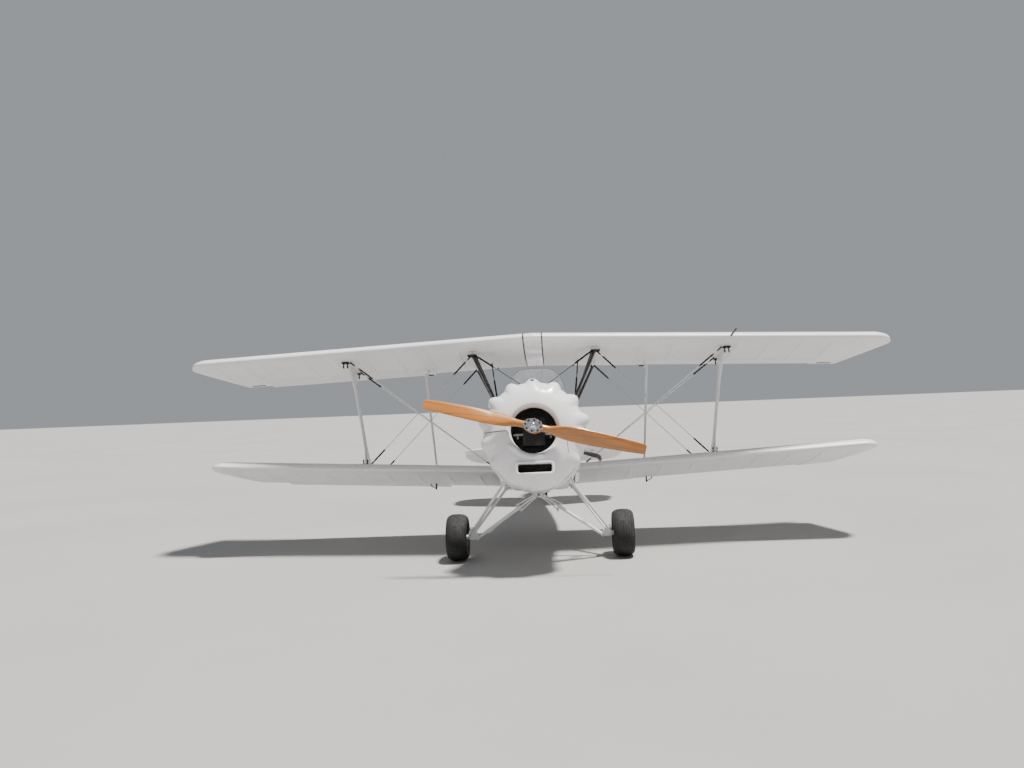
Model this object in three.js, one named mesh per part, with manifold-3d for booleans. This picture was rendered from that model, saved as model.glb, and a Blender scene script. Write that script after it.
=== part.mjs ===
// Two-seat open biplane, parked on its main wheels and tailwheel.
//
// Millimetres. +Z is up, the nose points along -Y and the pilot's left hand is +X.
// The airframe is drawn level in its own group, with the main axle's middle as its origin and y counted aft.
// That group is then pitched nose up about the axle and raised by a wheel's radius, so all wheels stand on z = 0.

import * as THREE from 'three';
import { mergeVertices } from 'three/addons/utils/BufferGeometryUtils.js';
import Module from 'manifold-3d';

const wasm = await Module();
wasm.setup();

// Driving dimensions

const ATTITUDE = THREE.MathUtils.degToRad(11);
const WHEEL_RADIUS = 200;
const WHEEL_WIDTH = 178;
const WHEEL_X = 711;
const SKIN_GAP = 0.4;

const THRUST_Z = 792;
const COWL_Z = 775;
const PROPELLER_Y = -1000;
const PROPELLER_RADIUS = 872;
const PROPELLER_PARK = THREE.MathUtils.degToRad(-14);
const PROPELLER_PITCH = 950;

const CHORD = 980;
const AILERON_HINGE = 0.76;
const AILERON_NOSE = 26;
const AILERON_CLEARANCE = 7;
const AILERON_END_GAP = 9;
const AILERON_DOWN_RIGHT = THREE.MathUtils.degToRad(-4);
const AILERON_UP_LEFT = THREE.MathUtils.degToRad(1.5);
const SLAVE_TOP = { x: 1046, arm: 95, rise: -55 };
const SLAVE_FOOT = { x: 1005, arm: 40, rise: 40 };
const SLAVE_RADIUS = 11;
const PUSHROD_X = 1045;
const HORN_HALF = 4;
const HORN_CLEARANCE = 7;

const UPPER = {
  leadingY: -382,
  z: 1662,
  sweep: Math.tan(THREE.MathUtils.degToRad(8)),
  dihedral: 0,
  incidence: THREE.MathUtils.degToRad(1.8),
  rootX: 84,
  tipX: 3240,
  rakeX: 2970,
  aileron: [980, 2700],
};

const LOWER = {
  leadingY: 295,
  z: 572,
  sweep: Math.tan(THREE.MathUtils.degToRad(-1.3)),
  dihedral: Math.tan(THREE.MathUtils.degToRad(2.65)),
  incidence: THREE.MathUtils.degToRad(3.2),
  rootX: 250,
  tipX: 3075,
  rakeX: 2850,
  aileron: [900, 2560],
};

const FRONT_SPAR = 0.216;
const REAR_SPAR = 0.69;
const STRUT_TOP_X = 1730;
const STRUT_FOOT_X = 1632;
const CABANE_TOP_X = 541;
const CABANE_FRONT_DROP = 70;
const CABANE_REAR_DROP = 88;
const CABANE_FOOT_X = 300;
const CABANE_FOOT_Z = 1062;
const TURNBUCKLE = 170;

const SKIN = 25;
const LONGERON_FRONT_Z = 965;
const LONGERON_SLOPE = 0.0267;
const STERN_Y = 3800;

const TAIL_HINGE_Y = 3700;
const TAIL_Z = 1163;
const TAIL_THICKNESS = 40;
const TAIL_HALF_SPAN = 1034;
const ELEVATOR_DROOP = THREE.MathUtils.degToRad(-12);
const RUDDER_HINGE_Y = 3832;

const TAILWHEEL_RADIUS = 80;
const TAILWHEEL_Y = 4075;
const TAILWHEEL_TRAIL = 55;

// Materials

const paint = (color, roughness, metalness = 0) =>
  new THREE.MeshStandardMaterial({ color, roughness, metalness });

const WHITE_FABRIC = paint(0xe9e7ea, 0.55);
const WHITE_PAINT = paint(0xf0eef2, 0.32);
const WHITE_TUBE = paint(0xe6e5e6, 0.4);
const BLACK_PAINT = paint(0x17171a, 0.4);
const VARNISHED_WOOD = paint(0xc98e48, 0.3);
const POLISHED_METAL = paint(0xc9ccd0, 0.2, 1);
const CAST_METAL = paint(0x4b4d50, 0.6, 0.7);
const STEEL = paint(0x8a8c90, 0.4, 0.9);
const RUBBER = paint(0x1c1c1d, 0.85);
const RIM_METAL = paint(0xb9bbbd, 0.45, 0.6);
const DARK_CORE = paint(0x101112, 0.7, 0.4);
const CLEAR_SCREEN = paint(0xbfd0d6, 0.1);
const SEAT_COVER = paint(0x54392a, 0.7);
const PANEL_FACE = paint(0x26282b, 0.6);

// Closed solids: conversions between geometries and bodies that can be joined and cut

function solid(geometry) {
  const bare = geometry.clone();
  bare.deleteAttribute('normal');
  bare.deleteAttribute('uv');
  const merged = mergeVertices(bare, 1e-3);
  return new wasm.Manifold(new wasm.Mesh({
    numProp: 3,
    vertProperties: new Float32Array(merged.attributes.position.array),
    triVerts: new Uint32Array(merged.index.array),
  }));
}

function surface(body) {
  const mesh = body.getMesh();
  const geometry = new THREE.BufferGeometry();
  geometry.setAttribute('position', new THREE.BufferAttribute(mesh.vertProperties, 3));
  geometry.setIndex(new THREE.BufferAttribute(mesh.triVerts, 1));
  geometry.computeVertexNormals();
  return geometry;
}

function join(bodies) {
  return bodies.reduce((whole, body) => whole.add(body));
}

// A body cut by a neighbour that it touches, with a thin gap left along the given direction
function fitted(body, neighbour, [x, y, z]) {
  return body.subtract(neighbour).subtract(neighbour.translate([x * SKIN_GAP, y * SKIN_GAP, z * SKIN_GAP]));
}

// Closed skin over a row of rings that all have the same number of points
function loft(rings) {
  const count = rings[0].length;
  const positions = rings.flat().flatMap((p) => [p[0], p[1], p[2]]);
  const faces = [];
  for (let i = 0; i + 1 < rings.length; i += 1) {
    for (let j = 0; j < count; j += 1) {
      const a = i * count + j;
      const b = i * count + ((j + 1) % count);
      faces.push(a, b, b + count, a, b + count, a + count);
    }
  }
  for (const [ring, flip] of [[0, true], [rings.length - 1, false]]) {
    const middle = [0, 1, 2].map((k) => rings[ring].reduce((sum, p) => sum + p[k], 0) / count);
    const hub = positions.length / 3;
    positions.push(...middle);
    for (let j = 0; j < count; j += 1) {
      const a = ring * count + j;
      const b = ring * count + ((j + 1) % count);
      faces.push(hub, flip ? b : a, flip ? a : b);
    }
  }
  const geometry = new THREE.BufferGeometry();
  geometry.setAttribute('position', new THREE.Float32BufferAttribute(positions, 3));
  geometry.setIndex(signedVolume(positions, faces) < 0 ? reversed(faces) : faces);
  return geometry;
}

function signedVolume(positions, faces) {
  const at = (i) => new THREE.Vector3(...positions.slice(3 * i, 3 * i + 3));
  let volume = 0;
  for (let f = 0; f < faces.length; f += 3) {
    volume += at(faces[f]).dot(at(faces[f + 1]).cross(at(faces[f + 2])));
  }
  return volume;
}

function reversed(faces) {
  return faces.map((value, i) => faces[i - (i % 3) + [0, 2, 1][i % 3]]);
}

function mirrored(geometry) {
  const twin = geometry.clone();
  twin.scale(-1, 1, 1);
  twin.setIndex(reversed(Array.from(twin.index.array)));
  return twin;
}

// Simple shapes between points

function rod(from, to, radius, sides = 10) {
  const a = new THREE.Vector3(...from);
  const b = new THREE.Vector3(...to);
  const geometry = new THREE.CylinderGeometry(radius, radius, a.distanceTo(b), sides);
  const direction = b.clone().sub(a).normalize();
  geometry.applyQuaternion(new THREE.Quaternion().setFromUnitVectors(new THREE.Vector3(0, 1, 0), direction));
  geometry.translate(...a.add(b).multiplyScalar(0.5).toArray());
  return solid(geometry);
}

function block(low, high) {
  const size = high.map((value, i) => value - low[i]);
  const geometry = new THREE.BoxGeometry(...size);
  geometry.translate(...high.map((value, i) => (value + low[i]) / 2));
  return solid(geometry);
}

function between(from, to, share) {
  return from.map((value, i) => value + (to[i] - value) * share);
}

// Points along a smooth curve through a few given ones
function rounded(points, steps) {
  const curve = new THREE.SplineCurve(points.map(([x, y]) => new THREE.Vector2(x, y)));
  return curve.getPoints(steps).map(({ x, y }) => [x, y]);
}

// A box along y whose section has round corners
function roundedBlock(halfWidth, [lowZ, highZ], [fromY, toY], corner) {
  const halfHeight = (highZ - lowZ) / 2;
  const shape = new THREE.Shape();
  for (const [quarter, x, z] of [[0, 1, 1], [1, -1, 1], [2, -1, -1], [3, 1, -1]]) {
    const start = (quarter * Math.PI) / 2;
    shape.absarc(x * (halfWidth - corner), z * (halfHeight - corner), corner, start, start + Math.PI / 2);
  }
  const geometry = new THREE.ExtrudeGeometry(shape, { depth: toY - fromY, bevelEnabled: false, curveSegments: 4 });
  geometry.rotateX(Math.PI / 2);
  geometry.translate(0, toY, (lowZ + highZ) / 2);
  return solid(geometry);
}

// A streamlined tube: an oval section, long in y and thin across
function fairedTube(from, to, length, width, sides = 12) {
  const ring = (centre) => Array.from({ length: sides }, (_, i) => {
    const angle = (2 * Math.PI * i) / sides;
    return [centre[0] + (width / 2) * Math.cos(angle), centre[1] + (length / 2) * Math.sin(angle), centre[2]];
  });
  return solid(loft([ring(from), ring(to)]));
}

function sweptTube(points, radius, steps, sides = 12) {
  const section = new THREE.Shape();
  section.absarc(0, 0, radius, 0, 2 * Math.PI);
  const path = new THREE.CatmullRomCurve3(points.map((p) => new THREE.Vector3(...p)));
  return solid(new THREE.ExtrudeGeometry(section, { steps, extrudePath: path, curveSegments: sides / 2 }));
}

// Wing panels

// Section ordinates in shares of the chord: station, upper surface, lower surface
const AIRFOIL = [
  [0.000, 0.0000, 0.0000],
  [0.0125, 0.0267, -0.0123],
  [0.050, 0.0491, -0.0226],
  [0.100, 0.0643, -0.0292],
  [0.200, 0.0750, -0.0397],
  [0.300, 0.0755, -0.0446],
  [0.450, 0.0682, -0.0436],
  [0.600, 0.0547, -0.0367],
  [0.760, 0.0360, -0.0250],
  [0.900, 0.0168, -0.0123],
  [1.000, 0.0028, -0.0028],
];

function airfoilRing(x, chord, start, end, thickness) {
  const point = (share, height) => [x, chord * (start + share * (end - start)), chord * thickness * height];
  const upper = AIRFOIL.map(([share, top]) => point(share, top)).reverse();
  const lower = AIRFOIL.slice(1).map(([share, , bottom]) => point(share, bottom));
  return [...upper, ...lower];
}

// Tip stations: share of the way from the rake's start to the tip, chord start, chord end, thickness
const TIP_STATIONS = [
  [0.00, 0.00, 1.00, 1.00],
  [0.33, 0.00, 0.77, 0.90],
  [0.60, 0.02, 0.58, 0.72],
  [0.82, 0.07, 0.42, 0.50],
  [1.00, 0.17, 0.29, 0.16],
];

function panel(wing) {
  const rings = [airfoilRing(wing.rootX, CHORD, 0, 1, 1)];
  for (const [share, start, end, thickness] of TIP_STATIONS) {
    rings.push(airfoilRing(wing.rakeX + share * (wing.tipX - wing.rakeX), CHORD, start, end, thickness));
  }
  const [inner, outer] = wing.aileron;
  const spar = AILERON_HINGE * CHORD - AILERON_NOSE - AILERON_CLEARANCE;
  return solid(loft(rings)).subtract(block([inner, spar, -200], [outer, CHORD + 50, 200]));
}

// Height of the aileron's hinge above the chord line
const HINGE_RISE = 0.5 * (0.0360 - 0.0250) * CHORD;

// An aileron's outline: a round nose about its hinge and flat sides to the trailing edge
function aileron(wing) {
  const [inner, outer] = wing.aileron;
  const noseSteps = 8;
  const tail = (1 - AILERON_HINGE) * CHORD;
  const ring = (x) => {
    const nose = Array.from({ length: noseSteps + 1 }, (_, i) => {
      const angle = Math.PI / 2 + (Math.PI * i) / noseSteps;
      return [x, AILERON_NOSE * Math.cos(angle), AILERON_NOSE * Math.sin(angle)];
    });
    return [...nose, [x, tail, -HINGE_RISE - 3], [x, tail, -HINGE_RISE + 3]];
  };
  return solid(loft([ring(inner + AILERON_END_GAP), ring(outer - AILERON_END_GAP)]));
}

// Sweep and dihedral as shears, so that ribs stay along the line of flight
function sheared(body, wing) {
  const geometry = surface(body);
  const shear = new THREE.Matrix4().set(
    1, 0, 0, 0,
    wing.sweep, 1, 0, 0,
    wing.dihedral, 0, 1, 0,
    0, 0, 0, 1,
  );
  geometry.applyMatrix4(shear);
  return geometry;
}

// A point of a wing in the level frame: span position, chord share, height over the chord line
function wingPoint(wing, x, share, height = 0) {
  const local = new THREE.Vector3(x, share * CHORD + x * wing.sweep, height + x * wing.dihedral);
  local.applyAxisAngle(new THREE.Vector3(1, 0, 0), -wing.incidence);
  return [local.x, local.y + wing.leadingY, local.z + wing.z];
}

function wingBody(wing) {
  const geometry = sheared(panel(wing), wing);
  geometry.rotateX(-wing.incidence);
  geometry.translate(0, wing.leadingY, wing.z);
  return geometry;
}

// Fuselage

// Sections: station, half width, bottom, top of the side, top of the deck
const SECTIONS = [
  [-430, 345, 385, 1184],
  [100, 335, 392, 1230],
  [700, 322, 436, 1255],
  [1250, 300, 478, 1282],
  [1760, 266, 528, 1288],
  [2400, 205, 616, 1206],
  [3020, 140, 742, 1139],
  [3500, 84, 846, 1136],
  [STERN_Y, 46, 908, 1134],
];

function longeronZ(y) {
  return LONGERON_FRONT_Z + LONGERON_SLOPE * (y - SECTIONS[0][0]);
}

// Radius of the belly's corners: large behind the cowl, small from the front cockpit on
function bellyCorner(y) {
  const [from, to] = [SECTIONS[0][0], 970];
  return 90 + 150 * Math.max(0, (to - y) / (to - from));
}

function fuselageRing([y, halfWidth, bottom, top], inset) {
  const side = longeronZ(y);
  const w = halfWidth - inset;
  const low = bottom + inset;
  const corner = Math.min(bellyCorner(y), w * 0.7);
  const half = [];
  const cornerSteps = 4;
  for (let i = 0; i <= cornerSteps; i += 1) {
    const angle = (Math.PI / 2) * (i / cornerSteps);
    half.push([w - corner * (1 - Math.sin(angle)), low + corner * (1 - Math.cos(angle))]);
  }
  half.push([w, side]);
  const deckSteps = 6;
  for (let i = 1; i < deckSteps; i += 1) {
    const angle = (Math.PI / 2) * (i / deckSteps);
    half.push([w * Math.cos(angle), side + (top - inset - side) * Math.sin(angle)]);
  }
  const port = half.map(([x, z]) => [x, y, z]);
  const starboard = half.map(([x, z]) => [-x, y, z]).reverse();
  return [...port, [0, y, top - inset], ...starboard];
}

function sectionAt(y) {
  const next = SECTIONS.findIndex(([station]) => station >= y);
  const [a, b] = [SECTIONS[next - 1], SECTIONS[next]];
  return between(a, b, (y - a[0]) / (b[0] - a[0]));
}

const fuselageOuter = solid(loft(SECTIONS.map((section) => fuselageRing(section, 0))));

const HOLLOW_FROM = -400;
const HOLLOW_TO = 3000;
const hollowSections = [
  sectionAt(HOLLOW_FROM),
  ...SECTIONS.filter(([y]) => y > HOLLOW_FROM && y < HOLLOW_TO),
  sectionAt(HOLLOW_TO),
];
const fuselageInner = solid(loft(hollowSections.map((section) => fuselageRing(section, SKIN))));

// Cockpits: front edge, rear edge, half width
const COCKPITS = { front: [230, 770, 205], rear: [1130, 1690, 215] };

function cockpitCut([from, to, halfWidth]) {
  const shape = new THREE.Shape();
  const corner = 110;
  shape.moveTo(-halfWidth, from + corner);
  shape.quadraticCurveTo(-halfWidth, from, -halfWidth + corner, from);
  shape.lineTo(halfWidth - corner, from);
  shape.quadraticCurveTo(halfWidth, from, halfWidth, from + corner);
  shape.lineTo(halfWidth, to - corner);
  shape.quadraticCurveTo(halfWidth, to, halfWidth - corner, to);
  shape.lineTo(-halfWidth + corner, to);
  shape.quadraticCurveTo(-halfWidth, to, -halfWidth, to - corner);
  shape.closePath();
  const geometry = new THREE.ExtrudeGeometry(shape, { depth: 500, bevelEnabled: false, curveSegments: 5 });
  geometry.translate(0, 0, 1000);
  return solid(geometry);
}

// Everything above the longeron line, from one station to another
function aboveLongeron(from, to, lift) {
  const ring = (x) => [
    [x, from, longeronZ(from) + lift],
    [x, to, longeronZ(to) + lift],
    [x, to, 1700],
    [x, from, 1700],
  ];
  return solid(loft([ring(-500), ring(500)]));
}

const TURTLEDECK_FROM = 1760;
const fuselageShell = fuselageOuter.subtract(fuselageInner);
const wholeDeck = aboveLongeron(-600, 4000, 0);
const fuselageLower = fuselageShell.subtract(wholeDeck);
const deckForward = fuselageShell
  .intersect(aboveLongeron(-600, TURTLEDECK_FROM - SKIN_GAP, SKIN_GAP))
  .subtract(cockpitCut(COCKPITS.front))
  .subtract(cockpitCut(COCKPITS.rear));
const turtledeck = fuselageShell.intersect(aboveLongeron(TURTLEDECK_FROM, 4000, SKIN_GAP));

// Panels, seats and sticks in the cockpits

function instrumentPanel(y) {
  const slab = block([-600, y, longeronZ(y) - 90], [600, y + 8, 1500]);
  return slab.intersect(solid(loft([y - 20, y + 30].map((s) => fuselageRing(sectionAt(s), SKIN + 1)))));
}

function seat(y, halfWidth) {
  const floor = sectionAt(y + 380)[2] + SKIN + 5;
  const pan = block([-halfWidth, y, floor], [halfWidth, y + 380, floor + 190]);
  const back = new THREE.Shape();
  back.moveTo(0, 0);
  back.lineTo(60, 0);
  back.lineTo(150, 520);
  back.lineTo(100, 530);
  back.closePath();
  const geometry = new THREE.ExtrudeGeometry(back, { depth: 2 * halfWidth, bevelEnabled: false });
  geometry.rotateY(Math.PI / 2);
  geometry.rotateX(Math.PI / 2);
  geometry.translate(-halfWidth, y + 330, floor + 10);
  return pan.add(solid(geometry));
}

function controlStick(y) {
  const floor = sectionAt(y)[2] + SKIN + 5;
  return join([
    block([-40, y - 22, floor], [40, y + 22, floor + 30]),
    rod([0, y, floor + 20], [0, y + 8, floor + 360], 11),
    rod([0, y + 8, floor + 350], [0, y + 12, floor + 460], 17),
  ]);
}

// Windscreens: half width, height of the rim's middle, station of the rim's ends, depth of the wrap
const WINDSCREENS = {
  front: [288, 1546, 430, 255],
  rear: [262, 1580, 1330, 262],
};

// A thin shell wrapped round the front of a cockpit, leaning aft, its rim a flat-topped arch
function windscreen([halfWidth, rimZ, endY, depth]) {
  const turns = 16;
  const thickness = 5;
  const lowZ = 1080;
  const shoulderZ = 1150;
  const rings = [];
  for (let i = 0; i <= turns; i += 1) {
    const angle = THREE.MathUtils.degToRad(-86 + (172 * i) / turns);
    const rim = shoulderZ + (rimZ - shoulderZ) * (1 - Math.sin(angle) ** 4) ** 0.4;
    const lean = 60 + 110 * Math.cos(angle);
    const wall = (inset) => [0, 0.5, 0.8, 1].map((share) => [
      (halfWidth - inset) * Math.sin(angle),
      endY - (depth - inset) * Math.cos(angle) + lean * share,
      lowZ + (rim - lowZ) * share,
    ]);
    rings.push([...wall(0), ...wall(thickness).reverse()]);
  }
  return solid(loft(rings));
}

// Cowl

const COWL_REAR_Y = -440;
const INTAKE_RADIUS = 178;
const BUMP_COUNT = 14;
const BUMP_HEIGHT = { top: 31, side: 45 };
const CHIN = 52;
const TURNS_PER_BUMP = 8;

// Outer profile: radius, station, share of the rocker bump's height
const COWL_PROFILE = [
  [INTAKE_RADIUS, -905, 0],
  [182, -925, 0],
  [194, -940, 0],
  [214, -948, 0],
  [265, -938, 0],
  [315, -918, 0.05],
  [352, -888, 0.45],
  [388, -845, 0.85],
  [404, -790, 1],
  [410, -720, 0.85],
  [410, -650, 0.35],
  [406, -590, 0],
  [398, COWL_REAR_Y, 0],
  [388, COWL_REAR_Y, 0],
  [388, -770, 0],
  [320, -885, 0],
  [225, -928, 0],
];

function cowl() {
  const turns = BUMP_COUNT * TURNS_PER_BUMP;
  const spacing = (2 * Math.PI) / BUMP_COUNT;
  const rings = [];
  for (let i = 0; i < turns; i += 1) {
    const angle = (2 * Math.PI * i) / turns;
    const offset = Math.abs(((angle - Math.PI / 2) / spacing) - Math.round((angle - Math.PI / 2) / spacing));
    const down = Math.max(0, -Math.sin(angle));
    const height = BUMP_HEIGHT.top + (BUMP_HEIGHT.side - BUMP_HEIGHT.top) * Math.cos(angle) ** 2;
    const bump = height * (1 - 0.7 * down ** 0.7) * Math.cos(Math.PI * offset) ** 2;
    rings.push(COWL_PROFILE.map(([radius, y, share]) => {
      const out = (radius - INTAKE_RADIUS) / (400 - INTAKE_RADIUS);
      const r = radius + bump * share + CHIN * down * down * out;
      return [r * Math.cos(angle), y, COWL_Z + r * Math.sin(angle)];
    }));
  }
  return solid(closedLoft(rings));
}

// A skin whose last ring joins its first
function closedLoft(rings) {
  const count = rings[0].length;
  const positions = rings.flat().flatMap((p) => [p[0], p[1], p[2]]);
  const faces = [];
  rings.forEach((_, i) => {
    const next = (i + 1) % rings.length;
    for (let j = 0; j < count; j += 1) {
      const k = (j + 1) % count;
      const [a, b, c, d] = [i * count + j, i * count + k, next * count + k, next * count + j];
      faces.push(a, b, c, a, c, d);
    }
  });
  const geometry = new THREE.BufferGeometry();
  geometry.setAttribute('position', new THREE.Float32BufferAttribute(positions, 3));
  geometry.setIndex(signedVolume(positions, faces) < 0 ? reversed(faces) : faces);
  return geometry;
}

const RADIATOR = { halfWidth: 130, lowZ: 446, highZ: 513, frontY: -958, frame: 21 };
const cowlWhole = cowl();
const cowlUpper = cowlWhole.intersect(block([-600, -1000, COWL_Z + SKIN_GAP], [600, 0, 1400]));

// The ridge round the intake's lower edge: place round the cowl in degrees, radius of its middle
const INTAKE_RIDGE = [[203, 233], [225, 212], [248, 211], [270, 212], [297, 215]];

function cowlLowerPiece() {
  const { halfWidth, lowZ, highZ, frontY, frame } = RADIATOR;
  const duct = roundedBlock(halfWidth + frame, [lowZ - frame, highZ + frame], [frontY, -850], 30);
  const hole = roundedBlock(halfWidth, [lowZ, highZ], [-1000, -700], 14);
  const ridgePoints = INTAKE_RIDGE.map(([degrees, radius]) => {
    const angle = THREE.MathUtils.degToRad(degrees);
    return [radius * Math.cos(angle), -938, COWL_Z + radius * Math.sin(angle)];
  });
  const ridge = sweptTube(ridgePoints, 24, 12);
  return cowlWhole
    .intersect(block([-600, -1000, 0], [600, 0, COWL_Z]))
    .add(ridge)
    .add(duct)
    .subtract(hole);
}

function radiatorCore() {
  const { halfWidth, lowZ, highZ } = RADIATOR;
  const gap = 4;
  return roundedBlock(halfWidth - gap, [lowZ + gap, highZ - gap], [-880, -760], 14 - gap);
}

function engine() {
  return join([
    block([-210, -760, 560], [210, -470, 960]),
    block([-85, -860, THRUST_Z - 130], [85, -750, THRUST_Z + 90]),
    rod([0, -850, THRUST_Z], [0, PROPELLER_Y + 46, THRUST_Z], 46, 20),
    rod([-165, -800, COWL_Z - 40], [165, -800, COWL_Z - 40], 11),
    rod([-130, -800, COWL_Z - 40], [-130, -740, COWL_Z - 40], 9),
    rod([130, -800, COWL_Z - 40], [130, -740, COWL_Z - 40], 9),
    rod([0, -480, THRUST_Z - 40], [0, -431, THRUST_Z - 40], 60, 16),
  ]);
}

// Propeller, drawn about its own axis with the blades along x

// Blade stations: radius, chord, thickness
const BLADE_STATIONS = [
  [40, 84, 62],
  [120, 78, 46],
  [230, 92, 30],
  [400, 106, 20],
  [560, 106, 14],
  [720, 94, 10],
  [840, 78, 7],
  [PROPELLER_RADIUS, 62, 5],
];

function blade() {
  const sides = 12;
  const rings = BLADE_STATIONS.map(([radius, chord, thickness]) => {
    const pitch = Math.min(0.75, Math.atan(PROPELLER_PITCH / (2 * Math.PI * radius)));
    return Array.from({ length: sides }, (_, i) => {
      const angle = (2 * Math.PI * i) / sides;
      const across = (chord / 2) * Math.cos(angle);
      const through = (thickness / 2) * Math.sin(angle);
      return [
        radius,
        -across * Math.sin(pitch) + through * Math.cos(pitch),
        across * Math.cos(pitch) + through * Math.sin(pitch),
      ];
    });
  });
  return solid(loft(rings));
}

function propellerBlades() {
  const one = surface(blade());
  const other = one.clone();
  other.rotateY(Math.PI);
  const hub = new THREE.CylinderGeometry(74, 74, 72, 28);
  hub.scale(1, 1, 57 / 74);
  return join([solid(one), solid(other), solid(hub)]);
}

function hubPlate() {
  const plate = new THREE.CylinderGeometry(76, 76, 10, 24);
  plate.scale(1, 1, 59 / 76);
  const lobes = Array.from({ length: 6 }, (_, i) => {
    const angle = (Math.PI / 3) * i;
    const lobe = new THREE.CylinderGeometry(14, 14, 22, 8);
    lobe.translate(56 * Math.cos(angle), -6, 44 * Math.sin(angle));
    return solid(lobe);
  });
  const boss = new THREE.CylinderGeometry(30, 26, 30, 16);
  boss.translate(0, -10, 0);
  return surface(join([solid(plate), ...lobes, solid(boss)])).translate(0, -36 - SKIN_GAP - 5, 0);
}

// Wheels, drawn about their own axle along x

function ringAboutX(profile, turns) {
  const geometry = new THREE.LatheGeometry(profile.map(([r, x]) => new THREE.Vector2(r, x)), turns);
  geometry.rotateZ(-Math.PI / 2);
  return geometry;
}

const RIM_RADIUS = 88;
const AXLE_RADIUS = 15;

function tyreProfile(radius, width, bead) {
  const flank = [
    [bead, 0.62],
    [bead + (radius - bead) * 0.35, 0.96],
    [bead + (radius - bead) * 0.68, 1],
    [radius * 0.9, 0.88],
    [radius * 0.955, 0.7],
    [radius * 0.99, 0.4],
  ];
  const side = (sign) => flank.map(([r, share]) => [r, (sign * share * width) / 2]);
  return [...side(-1), [radius, 0], ...side(1).reverse(), side(-1)[0]];
}

function rimProfile(radius, width, bore) {
  const half = width / 2;
  return [
    [bore, -half * 0.8],
    [bore + 16, -half * 0.8],
    [bore + 20, -half * 0.35],
    [radius * 0.72, -half * 0.3],
    [radius * 0.8, -half * 0.66],
    [radius, -half * 0.7],
    [radius, half * 0.7],
    [radius * 0.8, half * 0.66],
    [radius * 0.72, half * 0.3],
    [bore + 20, half * 0.35],
    [bore + 16, half * 0.8],
    [bore, half * 0.8],
    [bore, -half * 0.8],
  ];
}

// Main gear, drawn for the left side

// Leg feet beside the axle and their tops on the lower longerons
const GEAR_LEGS = [
  [[598, -30, 20], [240, -402, 468]],
  [[583, 30, 20], [261, 382, 490]],
];
const SHOCK_FOOT = [540, 0, -14];
const SHOCK_TOP = [14, 0, 345];

// The gusset plates' outline across the axle: x, z
const GUSSET = [[530, -26], [612, -26], [612, 30], [600, 84], [572, 84], [530, 8]];

function gearLeg() {
  const gussets = [-32, 27].map((y) => solid(loft([y, y + 5].map((at) => GUSSET.map(([x, z]) => [x, at, z])))));
  const pinHalf = 36;
  return join([
    ...GEAR_LEGS.map(([foot, top]) => fairedTube(foot, top, 50, 30)),
    ...gussets,
    rod([560, 0, 0], [WHEEL_X + 68, 0, 0], AXLE_RADIUS, 16),
    block([560, -30, -20], [600, 30, 20]),
    rod([SHOCK_FOOT[0], -pinHalf, SHOCK_FOOT[2]], [SHOCK_FOOT[0], pinHalf, SHOCK_FOOT[2]], 8, 12),
  ]);
}

// A tube up to a cross bar, then a middle rod and two side rods that draw together towards the top
function shockStrut() {
  const axis = new THREE.Vector3(...SHOCK_TOP).sub(new THREE.Vector3(...SHOCK_FOOT)).normalize();
  const beside = (share, lift) => {
    const [x, y, z] = between(SHOCK_FOOT, SHOCK_TOP, share);
    return [x + axis.z * lift, y, z - axis.x * lift];
  };
  const barAt = 0.7;
  const yokeAt = 0.95;
  const sideRods = [-1, 1].map((sign) => rod(beside(barAt, 30 * sign), beside(yokeAt, 13 * sign), 5, 8));
  return join([
    rod(SHOCK_FOOT, beside(barAt, 0), 13, 12),
    rod(beside(barAt - 0.02, 0), SHOCK_TOP, 8, 10),
    rod(beside(barAt, -36), beside(barAt, 36), 8, 10),
    rod(beside(yokeAt, -19), beside(yokeAt, 19), 7, 10),
    ...sideRods,
  ]);
}

function gearCentreFrame() {
  const foot = [0, 0, 338];
  const corners = [[-170, -150], [170, -150], [-170, 150], [170, 150]];
  const tubes = corners.map(([x, y]) => rod([x, y, 430], foot, 11, 10));
  return join([...tubes, rod([0, -34, 338], [0, 34, 338], 20, 14)]);
}

// Tail surfaces, drawn as plates with rounded edges

function plate(outline, thickness, bevel) {
  const shape = new THREE.Shape(outline.map(([x, y]) => new THREE.Vector2(x, y)));
  const geometry = new THREE.ExtrudeGeometry(shape, {
    depth: thickness - 2 * bevel,
    bevelThickness: bevel,
    bevelSize: bevel,
    bevelOffset: -bevel,
    bevelSegments: 2,
  });
  geometry.translate(0, 0, -thickness / 2 + bevel);
  return geometry;
}

// Outline of the left half of the tailplane: x, y
const TAILPLANE_HALF = [
  [0, 3040],
  ...rounded([[200, 3050], [760, 3235], [930, 3330], [1010, 3460], [TAIL_HALF_SPAN, TAIL_HINGE_Y - 18]], 12),
];

function bothHalves(half) {
  return [...half, ...half.map(([x, y]) => [-x, y]).filter(([x]) => x !== 0).reverse()];
}

function tailplane() {
  const geometry = plate(bothHalves(TAILPLANE_HALF), TAIL_THICKNESS, 12);
  geometry.translate(0, 0, TAIL_Z);
  return solid(geometry);
}

// Elevator halves about their hinge at y = 0: x, y
const ELEVATOR_HALF = [
  [70, 0],
  [TAIL_HALF_SPAN, 0],
  ...rounded([[1036, 90], [985, 235], [860, 352], [600, 392], [330, 380], [190, 300], [120, 160]], 16),
];

function elevator() {
  const left = plate(ELEVATOR_HALF, 26, 10);
  const right = mirrored(new THREE.BufferGeometry().copy(solidGeometry(left)));
  return join([solid(left), solid(right), rod([-TAIL_HALF_SPAN + 20, 0, 0], [TAIL_HALF_SPAN - 20, 0, 0], 13, 12)]);
}

function solidGeometry(geometry) {
  return surface(solid(geometry));
}

// Fin and rudder outlines: y, z
const FIN_OUTLINE = [
  ...rounded([[3180, 1186], [3340, 1330], [3500, 1520], [3600, 1630], [3700, 1684], [3806, 1700]], 10),
  [3806, 1186],
];

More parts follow.
